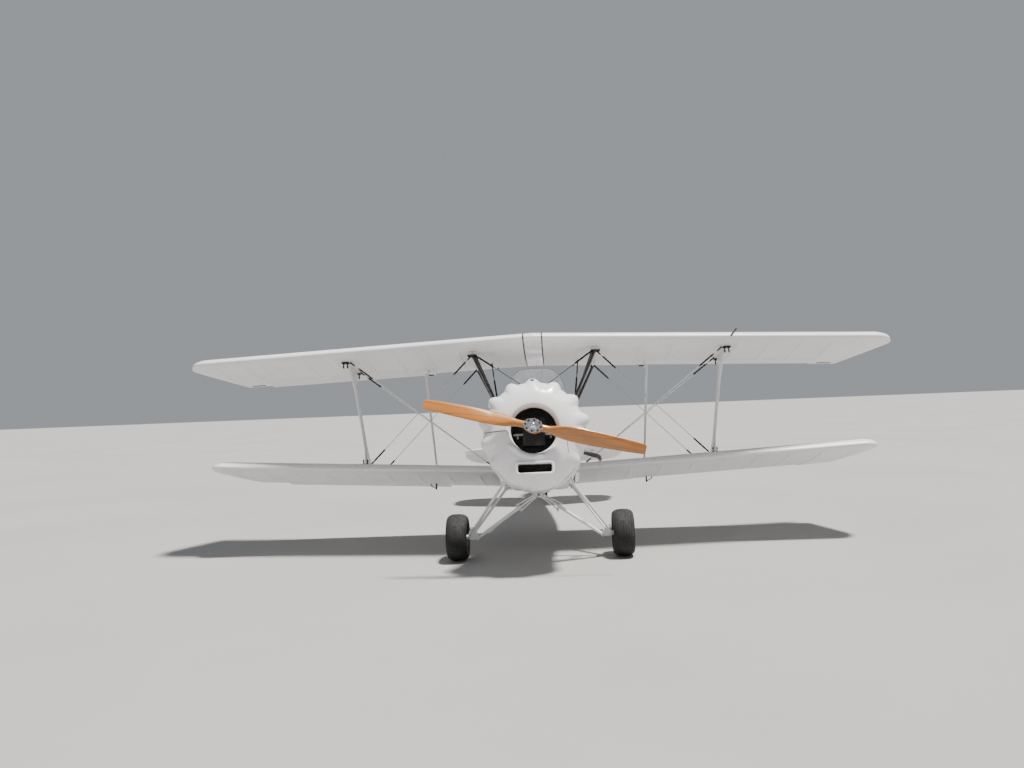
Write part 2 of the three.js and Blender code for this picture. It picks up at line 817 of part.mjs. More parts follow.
const RUDDER_OUTLINE = [
  [0, 930],
  ...rounded([
    [110, 905], [330, 960], [520, 1110], [610, 1300], [600, 1520], [520, 1700], [370, 1800], [180, 1830], [0, 1812],
  ], 24),
];

function upright(outline, thickness, bevel) {
  const geometry = plate(outline, thickness, bevel);
  geometry.rotateY(Math.PI / 2);
  geometry.rotateX(Math.PI / 2);
  return solid(geometry);
}

function fin() {
  return upright(FIN_OUTLINE, 30, 9)
    .subtract(block([-100, TAIL_HINGE_Y - 34, 1100], [100, TAIL_HINGE_Y + 34, 1208]));
}

function rudder() {
  return join([upright(RUDDER_OUTLINE, 28, 9), rod([0, 0, 900], [0, 0, 1805], 14, 12)]);
}

// Level-frame heights of points that sit at a given height over the ground
function levelZ(y, groundHeight) {
  return (groundHeight - WHEEL_RADIUS + y * Math.sin(ATTITUDE)) / Math.cos(ATTITUDE);
}

const TAILWHEEL_AXLE_Z = levelZ(TAILWHEEL_Y, TAILWHEEL_RADIUS);
const SWIVEL_Y = TAILWHEEL_Y - TAILWHEEL_TRAIL;
const SWIVEL_TOP_Z = levelZ(SWIVEL_Y, 228);

function tailSpring() {
  const root = [0, 3430, sectionAt(3430)[2] - 6];
  const rootAft = [0, 3640, sectionAt(3640)[2] - 6];
  const tip = [0, SWIVEL_Y, SWIVEL_TOP_Z + 10];
  const bend = [0, 3800, 850];
  const points = [root, rootAft, bend, tip];
  const ring = ([, y, z]) => [[-24, y, z - 6], [24, y, z - 6], [24, y, z + 6], [-24, y, z + 6]];
  return join([
    solid(loft(points.map(ring))),
    rod([0, SWIVEL_Y, SWIVEL_TOP_Z - 2], [0, SWIVEL_Y, SWIVEL_TOP_Z + 34], 22, 16),
  ]);
}

// Scene graph

const airframe = new THREE.Group();

function add(name, shape, material, parent = airframe) {
  const geometry = shape.isBufferGeometry ? shape : surface(shape);
  const mesh = new THREE.Mesh(geometry, material);
  mesh.name = name;
  parent.add(mesh);
  return mesh;
}

const SIDES = [['left', 1], ['right', -1]];
const sideOf = (body, sign) => (sign > 0 ? surface(body) : mirrored(surface(body)));

// Wings and ailerons
const upperPanel = solid(wingBody(UPPER));
const lowerPanel = fitted(solid(wingBody(LOWER)), fuselageOuter, [1, 0, 0]);
for (const [side, sign] of SIDES) {
  add(`upper_wing_${side}`, sideOf(upperPanel, sign), WHITE_FABRIC);
  add(`lower_wing_${side}`, sideOf(lowerPanel, sign), WHITE_FABRIC);
}

function centreSection() {
  const half = UPPER.rootX - 6;
  const rings = [-half, 0, half].map((x) => airfoilRing(x, CHORD, 0, 1, 1)
    .map(([, y, z]) => [x, y + Math.abs(x) * UPPER.sweep, z]));
  const geometry = loft(rings);
  geometry.rotateX(-UPPER.incidence);
  geometry.translate(0, UPPER.leadingY, UPPER.z);
  return geometry;
}
add('upper_wing_centre', centreSection(), WHITE_FABRIC);

function hingeAxis(wing) {
  return new THREE.Vector3(1, wing.sweep, wing.dihedral)
    .applyAxisAngle(new THREE.Vector3(1, 0, 0), -wing.incidence)
    .normalize();
}

// An aileron with the horn that carries the slave strut; the lower one's also reaches down for the pushrod
function aileronWithHorn(wing, { x, arm, rise }) {
  const reach = rise + 12 * Math.sign(rise);
  const horn = block([x - HORN_HALF, arm - 24, Math.min(0, reach)], [x + HORN_HALF, arm + 24, Math.max(0, reach)]);
  const whole = aileron(wing).add(horn);
  return rise < 0 ? whole : whole.add(block([PUSHROD_X - HORN_HALF, 10, -75], [PUSHROD_X + HORN_HALF, 80, 0]));
}

for (const [label, wing, slave] of [['upper', UPPER, SLAVE_TOP], ['lower', LOWER, SLAVE_FOOT]]) {
  const body = sheared(aileronWithHorn(wing, slave), wing);
  const axis = hingeAxis(wing);
  for (const [side, sign] of SIDES) {
    const geometry = sign > 0 ? body : mirrored(body);
    const mesh = add(`aileron_${label}_${side}`, geometry, WHITE_FABRIC);
    const hinge = wingPoint(wing, 0, AILERON_HINGE, HINGE_RISE);
    mesh.position.set(...hinge);
    const deflection = sign > 0 ? AILERON_UP_LEFT : AILERON_DOWN_RIGHT;
    const turn = new THREE.Quaternion()
      .setFromAxisAngle(new THREE.Vector3(axis.x, sign * axis.y, sign * axis.z), deflection);
    const pitch = new THREE.Quaternion().setFromAxisAngle(new THREE.Vector3(1, 0, 0), -wing.incidence);
    mesh.quaternion.copy(turn.multiply(pitch));
  }
}

// Struts between the wings
function interplaneStrut() {
  const top = [wingPoint(UPPER, STRUT_TOP_X, FRONT_SPAR), wingPoint(UPPER, STRUT_TOP_X, REAR_SPAR)];
  const foot = [wingPoint(LOWER, STRUT_FOOT_X, FRONT_SPAR), wingPoint(LOWER, STRUT_FOOT_X, REAR_SPAR)];
  const middleTop = between(top[0], top[1], 0.5);
  const middleFoot = between(foot[0], foot[1], 0.5);
  const nearEnd = [0, 0.03, 0.06, 0.1, 0.14, 0.19, 0.25];
  const levels = [...nearEnd, ...nearEnd.map((share) => 1 - share).reverse()];
  const sides = 12;
  const rings = levels.map((share) => {
    const centre = between(middleFoot, middleTop, share);
    const flare = Math.max(0, 1 - Math.min(share, 1 - share) / 0.25) ** 1.3;
    const half = 46 + (232 - 46) * flare;
    const slope = -Math.tan(share < 0.5 ? LOWER.incidence : UPPER.incidence) * flare;
    return Array.from({ length: sides }, (_, i) => {
      const angle = (2 * Math.PI * i) / sides;
      const along = half * Math.sin(angle);
      return [centre[0] + 13 * Math.cos(angle), centre[1] + along, centre[2] + along * slope];
    });
  });
  return fitted(fitted(solid(loft(rings)), solid(wingBody(UPPER)), [0, 0, -1]), solid(wingBody(LOWER)), [0, 0, 1]);
}
const strutBody = interplaneStrut();

// Pins of the fittings that hang the cabane under the upper wing's spars
const CABANE_PINS = {
  front: wingPoint(UPPER, CABANE_TOP_X, FRONT_SPAR, -CABANE_FRONT_DROP),
  rear: wingPoint(UPPER, CABANE_TOP_X, REAR_SPAR, -CABANE_REAR_DROP),
};

function cabane() {
  const { front, rear } = CABANE_PINS;
  const foot = ([, y]) => [CABANE_FOOT_X, y, CABANE_FOOT_Z];
  const hanger = ([x, y, z]) => block([x - 7, y - 30, z - 14], [x + 7, y + 30, z + 95]);
  const [x, y, z] = front;
  const crossBar = block([x - 36, y - 24, z - 4], [x + 48, y + 24, z + 9]);
  const bracedTop = [x - 24, y, z - 6];
  const bracedFoot = between(foot(rear), rear, 0.06);
  const struts = join([
    fairedTube(foot(front), front, 56, 34),
    fairedTube(foot(rear), rear, 56, 34),
    rod(bracedFoot, bracedTop, 12, 10),
    hanger(front),
    hanger(rear),
    crossBar,
  ]);
  return fitted(fitted(struts, upperPanel, [0, 0, -1]), fuselageOuter, [0.4, 0, 1]);
}
const cabaneBody = cabane();

// Bracing wires: each has its turnbuckles as thicker lengths, starting at the given shares of its length
function wire(from, to, turnbuckles) {
  const length = new THREE.Vector3(...from).distanceTo(new THREE.Vector3(...to));
  const thick = turnbuckles.map((at) => rod(between(from, to, at), between(from, to, at + TURNBUCKLE / length), 8, 6));
  return join([rod(from, to, 3.5, 6), ...thick]);
}

const FLYING_ROOT = [445, 500, 668];

function flyingWires() {
  const [x, y, z] = FLYING_ROOT;
  const front = wingPoint(UPPER, STRUT_TOP_X - 45, FRONT_SPAR);
  const rear = wingPoint(UPPER, STRUT_TOP_X - 45, REAR_SPAR - 0.06);
  const lug = rod([x, y, z - 40], [x, y, z + 12], 12, 8);
  const wires = join([wire(front, FLYING_ROOT, [0.06]), wire(rear, FLYING_ROOT, [0.06]), lug]);
  return fitted(fitted(wires, upperPanel, [0, 0, -1]), lowerPanel, [0, 0, 1]);
}

function landingWire(place) {
  const [x, y, z] = CABANE_PINS[place];
  const spar = { front: FRONT_SPAR, rear: REAR_SPAR }[place];
  const surfaceRise = { front: 74, rear: 45 }[place];
  const foot = wingPoint(LOWER, STRUT_FOOT_X - 62, spar, surfaceRise + 14);
  const lug = rod([foot[0], foot[1], foot[2] - 44], [foot[0], foot[1], foot[2] + 10], 12, 8);
  const strung = join([wire([x, y, z], foot, [0.05, 0.86]), lug]);
  return fitted(fitted(strung, cabaneBody, [1, 0, 0]), lowerPanel, [0, 0, 1]);
}

// Two wires from the front fittings down to one eye in the middle of the deck
function cabaneCrossWires() {
  const [x, pinY, z] = CABANE_PINS.front;
  const y = pinY - 14;
  const eyeZ = sectionAt(y)[3] + 6;
  const half = fitted(wire([x - 28, y, z - 2], [0, y, eyeZ], [0.04]), cabaneBody, [-1, 0, 0]);
  const eye = rod([0, y - 9, eyeZ], [0, y + 9, eyeZ], 14, 12);
  return fitted(join([half, solid(mirrored(surface(half))), eye]), fuselageOuter, [0, 0, 1]);
}

const flying = flyingWires();
const landing = { front: landingWire('front'), rear: landingWire('rear') };
for (const [side, sign] of SIDES) {
  add(`interplane_strut_${side}`, sideOf(strutBody, sign), WHITE_TUBE);
  add(`cabane_strut_${side}`, sideOf(cabaneBody, sign), BLACK_PAINT);
  add(`flying_wires_${side}`, sideOf(flying, sign), STEEL);
  for (const [place, body] of Object.entries(landing)) {
    add(`landing_wire_${place}_${side}`, sideOf(body, sign), STEEL);
  }
}
add('cabane_cross_wires', cabaneCrossWires(), STEEL);

// Slave struts from the lower ailerons up to the upper ones
function slavePins(sign) {
  const deflection = sign > 0 ? AILERON_UP_LEFT : AILERON_DOWN_RIGHT;
  const pin = (wing, { x, arm: aft, rise }) => {
    const hinge = new THREE.Vector3(...wingPoint(wing, x, AILERON_HINGE, HINGE_RISE));
    const axis = hingeAxis(wing);
    const arm = new THREE.Vector3(0, aft, rise)
      .applyAxisAngle(new THREE.Vector3(1, 0, 0), -wing.incidence)
      .applyAxisAngle(axis, deflection);
    const place = hinge.add(arm);
    return [sign * place.x, place.y, place.z];
  };
  return { upper: pin(UPPER, SLAVE_TOP), lower: pin(LOWER, SLAVE_FOOT) };
}

for (const [side, sign] of SIDES) {
  const { upper, lower } = slavePins(sign);
  const middle = HORN_HALF + HORN_CLEARANCE + SLAVE_RADIUS;
  const aside = ([x, y, z], shift) => [x + sign * shift, y, z];
  const eye = (pin) => rod(aside(pin, middle - SLAVE_RADIUS), aside(pin, middle + 7), 12, 12);
  const strut = join([rod(aside(lower, middle), aside(upper, middle), SLAVE_RADIUS, 10), eye(lower), eye(upper)]);
  add(`aileron_link_${side}`, strut, WHITE_TUBE);
}

// Fuselage, cockpits and nose
add('fuselage_lower', fuselageLower, WHITE_FABRIC);
add('deck_forward', deckForward, WHITE_PAINT);
add('turtledeck', turtledeck, WHITE_FABRIC);
for (const [place, [from]] of Object.entries(COCKPITS)) {
  add(`instrument_panel_${place}`, instrumentPanel(from + 60), PANEL_FACE);
  add(`seat_${place}`, seat(from + 160, place === 'front' ? 185 : 150), SEAT_COVER);
  add(`control_stick_${place}`, controlStick(from + 115), BLACK_PAINT);
}
for (const [place, sizes] of Object.entries(WINDSCREENS)) {
  add(`windscreen_${place}`, fitted(windscreen(sizes), fuselageOuter, [0, 0, 1]), CLEAR_SCREEN);
}
add('cowl_upper', cowlUpper, WHITE_PAINT);
add('cowl_lower', cowlLowerPiece(), WHITE_PAINT);
add('radiator_core', radiatorCore(), DARK_CORE);
add('engine_block', engine(), CAST_METAL);

function exhaustPipe() {
  const route = [[300, -360, 678], [380, -362, 660], [470, -340, 634], [520, -270, 626], [538, -160, 616]];
  return fitted(sweptTube(route, 19, 14), fuselageOuter, [1, 0, 0]);
}
add('exhaust_pipe', exhaustPipe(), BLACK_PAINT);

function pitotTube() {
  const root = wingPoint(UPPER, 1735, 0.02, 6);
  const nose = [root[0] + 8, root[1] - 225, root[2] + 12];
  return fitted(join([rod(root, nose, 7, 10), rod(between(nose, root, 0.5), root, 9, 10)]), upperPanel, [0, -1, 0]);
}
add('pitot_tube', pitotTube(), BLACK_PAINT);

const propellerGroup = new THREE.Group();
propellerGroup.position.set(0, PROPELLER_Y, THRUST_Z);
propellerGroup.rotation.y = -PROPELLER_PARK;
airframe.add(propellerGroup);
add('propeller_blades', propellerBlades(), VARNISHED_WOOD, propellerGroup);
add('propeller_hub_plate', hubPlate(), POLISHED_METAL, propellerGroup);

// Landing gear
const legBody = fitted(gearLeg(), fuselageOuter, [0, 0, -1]);
const centreFrame = fitted(gearCentreFrame(), fuselageOuter, [0, 0, -1]);
const shockBody = fitted(fitted(shockStrut(), legBody, [-1, 0, 0]), centreFrame, [1, 0, 0]);
for (const [side, sign] of SIDES) {
  add(`gear_leg_${side}`, sideOf(legBody, sign), WHITE_TUBE);
  add(`shock_strut_${side}`, sideOf(shockBody, sign), WHITE_TUBE);
  const wheel = new THREE.Group();
  wheel.position.set(sign * WHEEL_X, 0, 0);
  airframe.add(wheel);
  const bead = RIM_RADIUS + SKIN_GAP;
  add(`tyre_${side}`, ringAboutX(tyreProfile(WHEEL_RADIUS, WHEEL_WIDTH, bead), 40), RUBBER, wheel);
  add(`wheel_rim_${side}`, ringAboutX(rimProfile(RIM_RADIUS, 130, AXLE_RADIUS + 2), 24), RIM_METAL, wheel);
}
add('gear_centre_frame', centreFrame, WHITE_TUBE);

// Tail
const stabiliser = tailplane();
add('tailplane', stabiliser, WHITE_FABRIC);
add('fin', fin(), WHITE_FABRIC);
const elevatorMesh = add('elevator', elevator(), WHITE_FABRIC);
elevatorMesh.position.set(0, TAIL_HINGE_Y, TAIL_Z);
elevatorMesh.rotation.x = ELEVATOR_DROOP;
const rudderMesh = add('rudder', rudder(), WHITE_FABRIC);
rudderMesh.position.set(0, RUDDER_HINGE_Y, 0);

function tailBrace() {
  const foot = [62, 3480, 872];
  const top = [640, 3560, TAIL_Z];
  return fitted(fitted(fairedTube(foot, top, 30, 16, 10), stabiliser, [0, 0, -1]), fuselageOuter, [1, 0, 0]);
}
const braceBody = tailBrace();
for (const [side, sign] of SIDES) {
  add(`tail_brace_${side}`, sideOf(braceBody, sign), WHITE_TUBE);
}
add('tail_spring', fitted(tailSpring(), fuselageOuter, [0, 0, -1]), CAST_METAL);

// Tailwheel fork and wheel stand upright over the ground, so their groups undo the airframe's pitch
function tailwheelFork() {
  const top = 228 - TAILWHEEL_RADIUS - 4;
  const cheek = (sign) => join([
    rod([sign * 34, 0, 0], [sign * 34, -TAILWHEEL_TRAIL + 4, top - 34], 9, 10),
    rod([sign * 40, 0, 0], [sign * 28, 0, 0], 13, 12),
  ]);
  return join([
    cheek(1),
    cheek(-1),
    block([-44, -TAILWHEEL_TRAIL - 14, top - 40], [44, -TAILWHEEL_TRAIL + 22, top - 26]),
    rod([0, -TAILWHEEL_TRAIL, top - 40], [0, -TAILWHEEL_TRAIL, top], 16, 14),
    rod([-36, 0, 0], [36, 0, 0], 6, 10),
  ]);
}
const tailGroup = new THREE.Group();
tailGroup.position.set(0, TAILWHEEL_Y, TAILWHEEL_AXLE_Z);
tailGroup.rotation.x = ATTITUDE;
airframe.add(tailGroup);
add('tailwheel_fork', tailwheelFork(), CAST_METAL, tailGroup);
add('tailwheel_tyre', ringAboutX(tyreProfile(TAILWHEEL_RADIUS, 44, 34 + SKIN_GAP), 24), RUBBER, tailGroup);
add('tailwheel_hub', ringAboutX(rimProfile(34, 44, 7.5), 16), RIM_METAL, tailGroup);

// Parked: pitched about the axle, then centred fore and aft on the origin
airframe.rotation.x = -ATTITUDE;
airframe.position.z = WHEEL_RADIUS;
const biplane = new THREE.Group();
biplane.add(airframe);
biplane.updateMatrixWorld(true);
const extent = new THREE.Box3().setFromObject(airframe, true);
airframe.position.y = -(extent.min.y + extent.max.y) / 2;
biplane.updateMatrixWorld(true);

export default biplane;
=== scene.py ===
# Looks of a two-seat open biplane: smooth skins, fabric over ribs, rigging and fittings round the solids.
#
# Metres. Most pieces are drawn in the level airframe: the main axle's middle is its origin, x is the
# pilot's left, y counts aft and z is up. LEVEL pitches that frame nose up about the axle, as the aircraft
# stands when parked.

import math

import bmesh
import bpy
import numpy as np
from mathutils import Matrix, Vector


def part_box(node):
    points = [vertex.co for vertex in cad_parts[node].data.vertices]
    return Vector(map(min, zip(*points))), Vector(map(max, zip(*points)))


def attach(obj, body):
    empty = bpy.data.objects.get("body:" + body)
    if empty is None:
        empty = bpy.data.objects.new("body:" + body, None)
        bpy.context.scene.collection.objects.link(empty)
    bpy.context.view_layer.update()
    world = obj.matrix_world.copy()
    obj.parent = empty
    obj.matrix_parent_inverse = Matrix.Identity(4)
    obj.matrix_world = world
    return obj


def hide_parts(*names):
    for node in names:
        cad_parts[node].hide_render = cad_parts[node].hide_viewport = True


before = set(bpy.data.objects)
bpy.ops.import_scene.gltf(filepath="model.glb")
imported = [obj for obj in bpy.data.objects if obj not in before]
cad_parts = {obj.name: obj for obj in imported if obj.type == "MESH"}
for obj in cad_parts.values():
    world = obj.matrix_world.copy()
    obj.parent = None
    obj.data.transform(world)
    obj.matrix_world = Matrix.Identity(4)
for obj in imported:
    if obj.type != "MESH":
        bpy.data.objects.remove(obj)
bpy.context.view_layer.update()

# The level airframe

ATTITUDE = math.radians(11)
wheel_low, wheel_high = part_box("tyre_left")
AXLE = (wheel_low + wheel_high) / 2
WHEEL_RADIUS = AXLE.z
LEVEL = Matrix.Translation((0, AXLE.y, AXLE.z)) @ Matrix.Rotation(-ATTITUDE, 4, "X")
SIDES = (("left", 1), ("right", -1))

# Camera, at the photograph's viewing angle

FOCAL_PIXELS = 849.5
IMAGE_WIDTH = 1024
SENSOR = 36.0
CAMERA_AT = Vector((0.024, -7.334, 1.436))
CAMERA_YAW = math.radians(-1.679)
CAMERA_PITCH = math.radians(0.553)
CAMERA_ROLL = math.radians(2.303)
AIRCRAFT_YAW = math.radians(-1.161)


def make_camera():
    """The camera stands in a world turned about the main axle by the aircraft's own yaw."""
    turn = Matrix.Rotation(-AIRCRAFT_YAW, 4, "Z")
    forward = Vector((math.sin(CAMERA_YAW), math.cos(CAMERA_YAW), 0)) * math.cos(CAMERA_PITCH)
    forward.z = math.sin(CAMERA_PITCH)
    right = Vector((math.cos(CAMERA_YAW), -math.sin(CAMERA_YAW), 0))
    up = right.cross(forward)
    cos_roll, sin_roll = math.cos(CAMERA_ROLL), math.sin(CAMERA_ROLL)
    axes = (right * cos_roll - up * sin_roll, right * sin_roll + up * cos_roll, -forward)
    placed = Matrix([(*axis, 0) for axis in axes] + [(*CAMERA_AT, 1)]).transposed()
    data = bpy.data.cameras.new("camera")
    data.sensor_width = SENSOR
    data.lens = FOCAL_PIXELS / IMAGE_WIDTH * SENSOR
    data.clip_end = 200
    camera = bpy.data.objects.new("camera", data)
    camera.matrix_world = Matrix.Translation((0, AXLE.y, 0)) @ turn @ placed
    bpy.context.scene.collection.objects.link(camera)
    bpy.context.scene.camera = camera


make_camera()


# Materials

class Nodes:
    """A short way to build a material's nodes."""

    def __init__(self, name, **sockets):
        self.material = bpy.data.materials.new(name)
        self.material.use_nodes = True
        self.tree = self.material.node_tree
        self.shader = self.tree.nodes["Principled BSDF"]
        for socket, value in sockets.items():
            self.shader.inputs[socket.replace("_", " ")].default_value = value
        self.place = self.tree.nodes.new("ShaderNodeTexCoord").outputs["Object"]

    def node(self, kind, inputs=(), **settings):
        made = self.tree.nodes.new("ShaderNode" + kind)
        for key, value in settings.items():
            setattr(made, key, value)
        for socket, value in dict(inputs).items():
            if isinstance(value, bpy.types.NodeSocket):
                self.tree.links.new(value, made.inputs[socket])
            else:
                made.inputs[socket].default_value = value
        return made

    def scaled(self, scale):
        return self.node("Mapping", {"Vector": self.place, "Scale": scale}).outputs["Vector"]

    def noise(self, scale, detail=4, stretch=None, roughness=0.55):
        vector = self.scaled(stretch) if stretch else self.place
        inputs = {"Vector": vector, "Scale": scale, "Detail": detail, "Roughness": roughness}
        return self.node("TexNoise", inputs).outputs["Fac"]

    def between(self, value, low, high, to_low=0.0, to_high=1.0):
        inputs = {"Value": value, "From Min": low, "From Max": high, "To Min": to_low, "To Max": to_high}
        return self.node("MapRange", inputs).outputs["Result"]

    def math(self, operation, a, b=0.0):
        return self.node("Math", {0: a, 1: b}, operation=operation).outputs[0]

    def mix(self, factor, a, b):
        made = self.node("Mix", {0: factor, 6: a, 7: b}, data_type="RGBA")
        return made.outputs[2]

    def color(self, socket):
        self.tree.links.new(socket, self.shader.inputs["Base Color"])

    def roughness(self, socket):
        self.tree.links.new(socket, self.shader.inputs["Roughness"])

    def bump(self, height, strength, distance):
        inputs = {"Height": height, "Strength": strength, "Distance": distance}
        normal = self.node("Bump", inputs).outputs["Normal"]
        self.tree.links.new(normal, self.shader.inputs["Normal"])


def rgb(red, green, blue):
    return (red, green, blue, 1)


def weave(nodes, pitch):
    """Threads both ways, from two sets of fine waves."""
    waves = []
    for direction in ("X", "Y"):
        inputs = {"Vector": nodes.place, "Scale": 1 / pitch}
        waves.append(nodes.node("TexWave", inputs, bands_direction=direction).outputs["Fac"])
    return nodes.math("MULTIPLY", waves[0], waves[1])


def fabric_material(name, base, shade):
    """Doped fabric: a faint weave, slow changes of shade and a little dirt."""
    nodes = Nodes(name, Roughness=0.42, Coat_Weight=0.25, Coat_Roughness=0.3)
    slow = nodes.between(nodes.noise(1.4, 5), 0.35, 0.7)
    dirt = nodes.between(nodes.noise(9.0, 6, (1, 0.25, 1)), 0.56, 0.8, 0, 0.35)
    clean = nodes.mix(slow, base, shade)
    nodes.color(nodes.mix(dirt, clean, rgb(0.52, 0.50, 0.47)))
    nodes.roughness(nodes.between(nodes.noise(30, 3), 0.3, 0.7, 0.34, 0.52))
    nodes.bump(weave(nodes, 0.004), 0.08, 0.0006)
    return nodes.material


def gloss_material(name, base, shade, grime):
    """Moulded and painted shell: gloss with a fine ripple and thin grime."""
    nodes = Nodes(name, Roughness=0.22, Coat_Weight=0.5, Coat_Roughness=0.08)
    slow = nodes.between(nodes.noise(2.5, 4), 0.35, 0.7)
    dirt = nodes.between(nodes.noise(6.0, 8, (1, 1, 0.5), 0.65), 0.55, 0.8, 0, grime)
    nodes.color(nodes.mix(dirt, nodes.mix(slow, base, shade), rgb(0.42, 0.39, 0.35)))
    nodes.roughness(nodes.between(nodes.noise(14, 5), 0.3, 0.75, 0.18, 0.34))
    nodes.bump(nodes.noise(45, 2), 0.05, 0.001)
    return nodes.material


def tube_material(name, base, worn, roughness=0.3):
    """Enamel on tube, with chips and rubbed places."""
    nodes = Nodes(name, Roughness=roughness, Coat_Weight=0.3, Coat_Roughness=0.15)
    chips = nodes.between(nodes.noise(60, 6, None, 0.7), 0.66, 0.72)
    slow = nodes.between(nodes.noise(5, 4), 0.35, 0.7, 0, 0.4)
    nodes.color(nodes.mix(chips, nodes.mix(slow, base, worn), worn))
    nodes.roughness(nodes.between(nodes.noise(25, 4), 0.3, 0.7, roughness - 0.06, roughness + 0.14))
    nodes.bump(chips, 0.15, 0.0004)
    return nodes.material


def metal_material(name, base, dark, roughness, scale=40):
    nodes = Nodes(name, Metallic=1.0, Roughness=roughness)
    spots = nodes.between(nodes.noise(scale, 6, None, 0.65), 0.35, 0.75)
    nodes.color(nodes.mix(spots, base, dark))
    nodes.roughness(nodes.between(nodes.noise(scale * 2, 4), 0.3, 0.7, roughness * 0.8, roughness * 1.5))
    nodes.bump(nodes.noise(scale * 4, 3), 0.06, 0.0005)
    return nodes.material


def wood_material():
    """Laminated wood under varnish: boards stacked fore and aft, with long grain."""
    nodes = Nodes("varnished_wood", Roughness=0.24, Coat_Weight=0.9, Coat_Roughness=0.06)
    boards = nodes.node("TexWave", {"Vector": nodes.place, "Scale": 26.0, "Distortion": 0.25, "Detail": 1.0},
                        bands_direction="Y").outputs["Fac"]
    grain = nodes.noise(3.0, 8, (3, 60, 60), 0.7)
    figure = nodes.between(nodes.noise(2.2, 3, (0.8, 6, 3)), 0.35, 0.7)
    light = nodes.mix(figure, rgb(0.50, 0.19, 0.028), rgb(0.36, 0.115, 0.015))
    lined = nodes.mix(nodes.between(grain, 0.5, 0.78, 0, 0.75), light, rgb(0.24, 0.09, 0.022))
    glue = nodes.between(boards, 0.02, 0.10, 0.55, 0)
    nodes.color(nodes.mix(glue, lined, rgb(0.20, 0.08, 0.02)))
    nodes.roughness(nodes.between(grain, 0.3, 0.7, 0.2, 0.34))
    nodes.bump(grain, 0.06, 0.0004)
    return nodes.material


def rubber_material():
    nodes = Nodes("tyre_rubber", Roughness=0.8)
    dust = nodes.between(nodes.noise(14, 7, None, 0.65), 0.45, 0.80, 0, 0.6)
    nodes.color(nodes.mix(dust, rgb(0.012, 0.012, 0.013), rgb(0.050, 0.046, 0.040)))
    nodes.roughness(nodes.between(nodes.noise(40, 4), 0.3, 0.7, 0.68, 0.92))
    nodes.bump(nodes.noise(220, 4), 0.18, 0.0006)
    return nodes.material


def screen_material():
    """Clear formed sheet, faintly milky with scratches."""
    nodes = Nodes("clear_screen", Roughness=0.06, IOR=1.45, Transmission_Weight=0.95, Alpha=0.32)
    haze = nodes.between(nodes.noise(7, 6, None, 0.7), 0.4, 0.75)
    nodes.color(nodes.mix(haze, rgb(0.80, 0.86, 0.89), rgb(0.90, 0.92, 0.93)))
    nodes.roughness(nodes.between(nodes.noise(90, 5, (1, 1, 0.15)), 0.4, 0.8, 0.03, 0.22))
    return nodes.material


def leather_material(name, base, dark):
    nodes = Nodes(name, Roughness=0.55)
    cells = nodes.node("TexVoronoi", {"Vector": nodes.place, "Scale": 260.0}).outputs["Distance"]
    wear = nodes.between(nodes.noise(8, 6), 0.4, 0.72)
    nodes.color(nodes.mix(wear, dark, base))
    nodes.roughness(nodes.between(nodes.noise(30, 4), 0.3, 0.7, 0.42, 0.7))
    nodes.bump(cells, 0.3, 0.0008)
    return nodes.material


WHITE_FABRIC = fabric_material("white_fabric", rgb(0.80, 0.79, 0.81), rgb(0.74, 0.73, 0.745))
WHITE_PAINT = gloss_material("white_paint", rgb(0.84, 0.83, 0.85), rgb(0.78, 0.77, 0.79), 0.25)
WHITE_TUBE = tube_material("white_tube", rgb(0.78, 0.78, 0.79), rgb(0.60, 0.59, 0.58))
BLACK_PAINT = tube_material("black_paint", rgb(0.006, 0.006, 0.007), rgb(0.030, 0.029, 0.028), 0.42)
VARNISHED_WOOD = wood_material()
POLISHED_METAL = metal_material("polished_metal", rgb(0.80, 0.81, 0.83), rgb(0.55, 0.56, 0.58), 0.16)
CAST_METAL = metal_material("cast_metal", rgb(0.10, 0.10, 0.11), rgb(0.05, 0.05, 0.055), 0.5)
STEEL_WIRE = metal_material("steel_wire", rgb(0.55, 0.56, 0.58), rgb(0.33, 0.33, 0.34), 0.3, 80)
PALE_WIRE = tube_material("pale_wire", rgb(0.80, 0.77, 0.68), rgb(0.58, 0.55, 0.48), 0.35)
DARK_FITTING = metal_material("dark_fitting", rgb(0.035, 0.035, 0.038), rgb(0.016, 0.016, 0.017), 0.45, 60)
TYRE_RUBBER = rubber_material()
RIM_METAL = metal_material("rim_metal", rgb(0.55, 0.55, 0.56), rgb(0.32, 0.32, 0.33), 0.34)
DARK_CORE = metal_material("dark_core", rgb(0.075, 0.078, 0.078), rgb(0.025, 0.026, 0.027), 0.5, 120)
CLEAR_SCREEN = screen_material()
SEAT_COVER = leather_material("seat_cover", rgb(0.16, 0.075, 0.038), rgb(0.07, 0.03, 0.016))
BLACK_LEATHER = leather_material("black_leather", rgb(0.035, 0.033, 0.032), rgb(0.015, 0.014, 0.014))
PANEL_FACE = tube_material("panel_face", rgb(0.022, 0.022, 0.024), rgb(0.05, 0.05, 0.05), 0.5)


# Mesh making

def pchip(xs, ys, x):
    """Smooth curve through points that never overshoots between them."""
    xs, ys, x = np.asarray(xs, float), np.asarray(ys, float), np.asarray(x, float)
    step = np.diff(xs)
    slope = np.diff(ys) / step
    tangent = np.zeros(len(xs))
    for i in range(1, len(xs) - 1):
        if slope[i - 1] * slope[i] > 0:
            w1, w2 = 2 * step[i] + step[i - 1], step[i] + 2 * step[i - 1]
            tangent[i] = (w1 + w2) / (w1 / slope[i - 1] + w2 / slope[i])
    tangent[0], tangent[-1] = slope[0], slope[-1]
    i = np.clip(np.searchsorted(xs, x) - 1, 0, len(xs) - 2)
    h = step[i]
    t = (x - xs[i]) / h
    return ((1 + 2 * t) * (1 - t) ** 2 * ys[i] + t * (1 - t) ** 2 * h * tangent[i]
            + t * t * (3 - 2 * t) * ys[i + 1] + t * t * (t - 1) * h * tangent[i + 1])


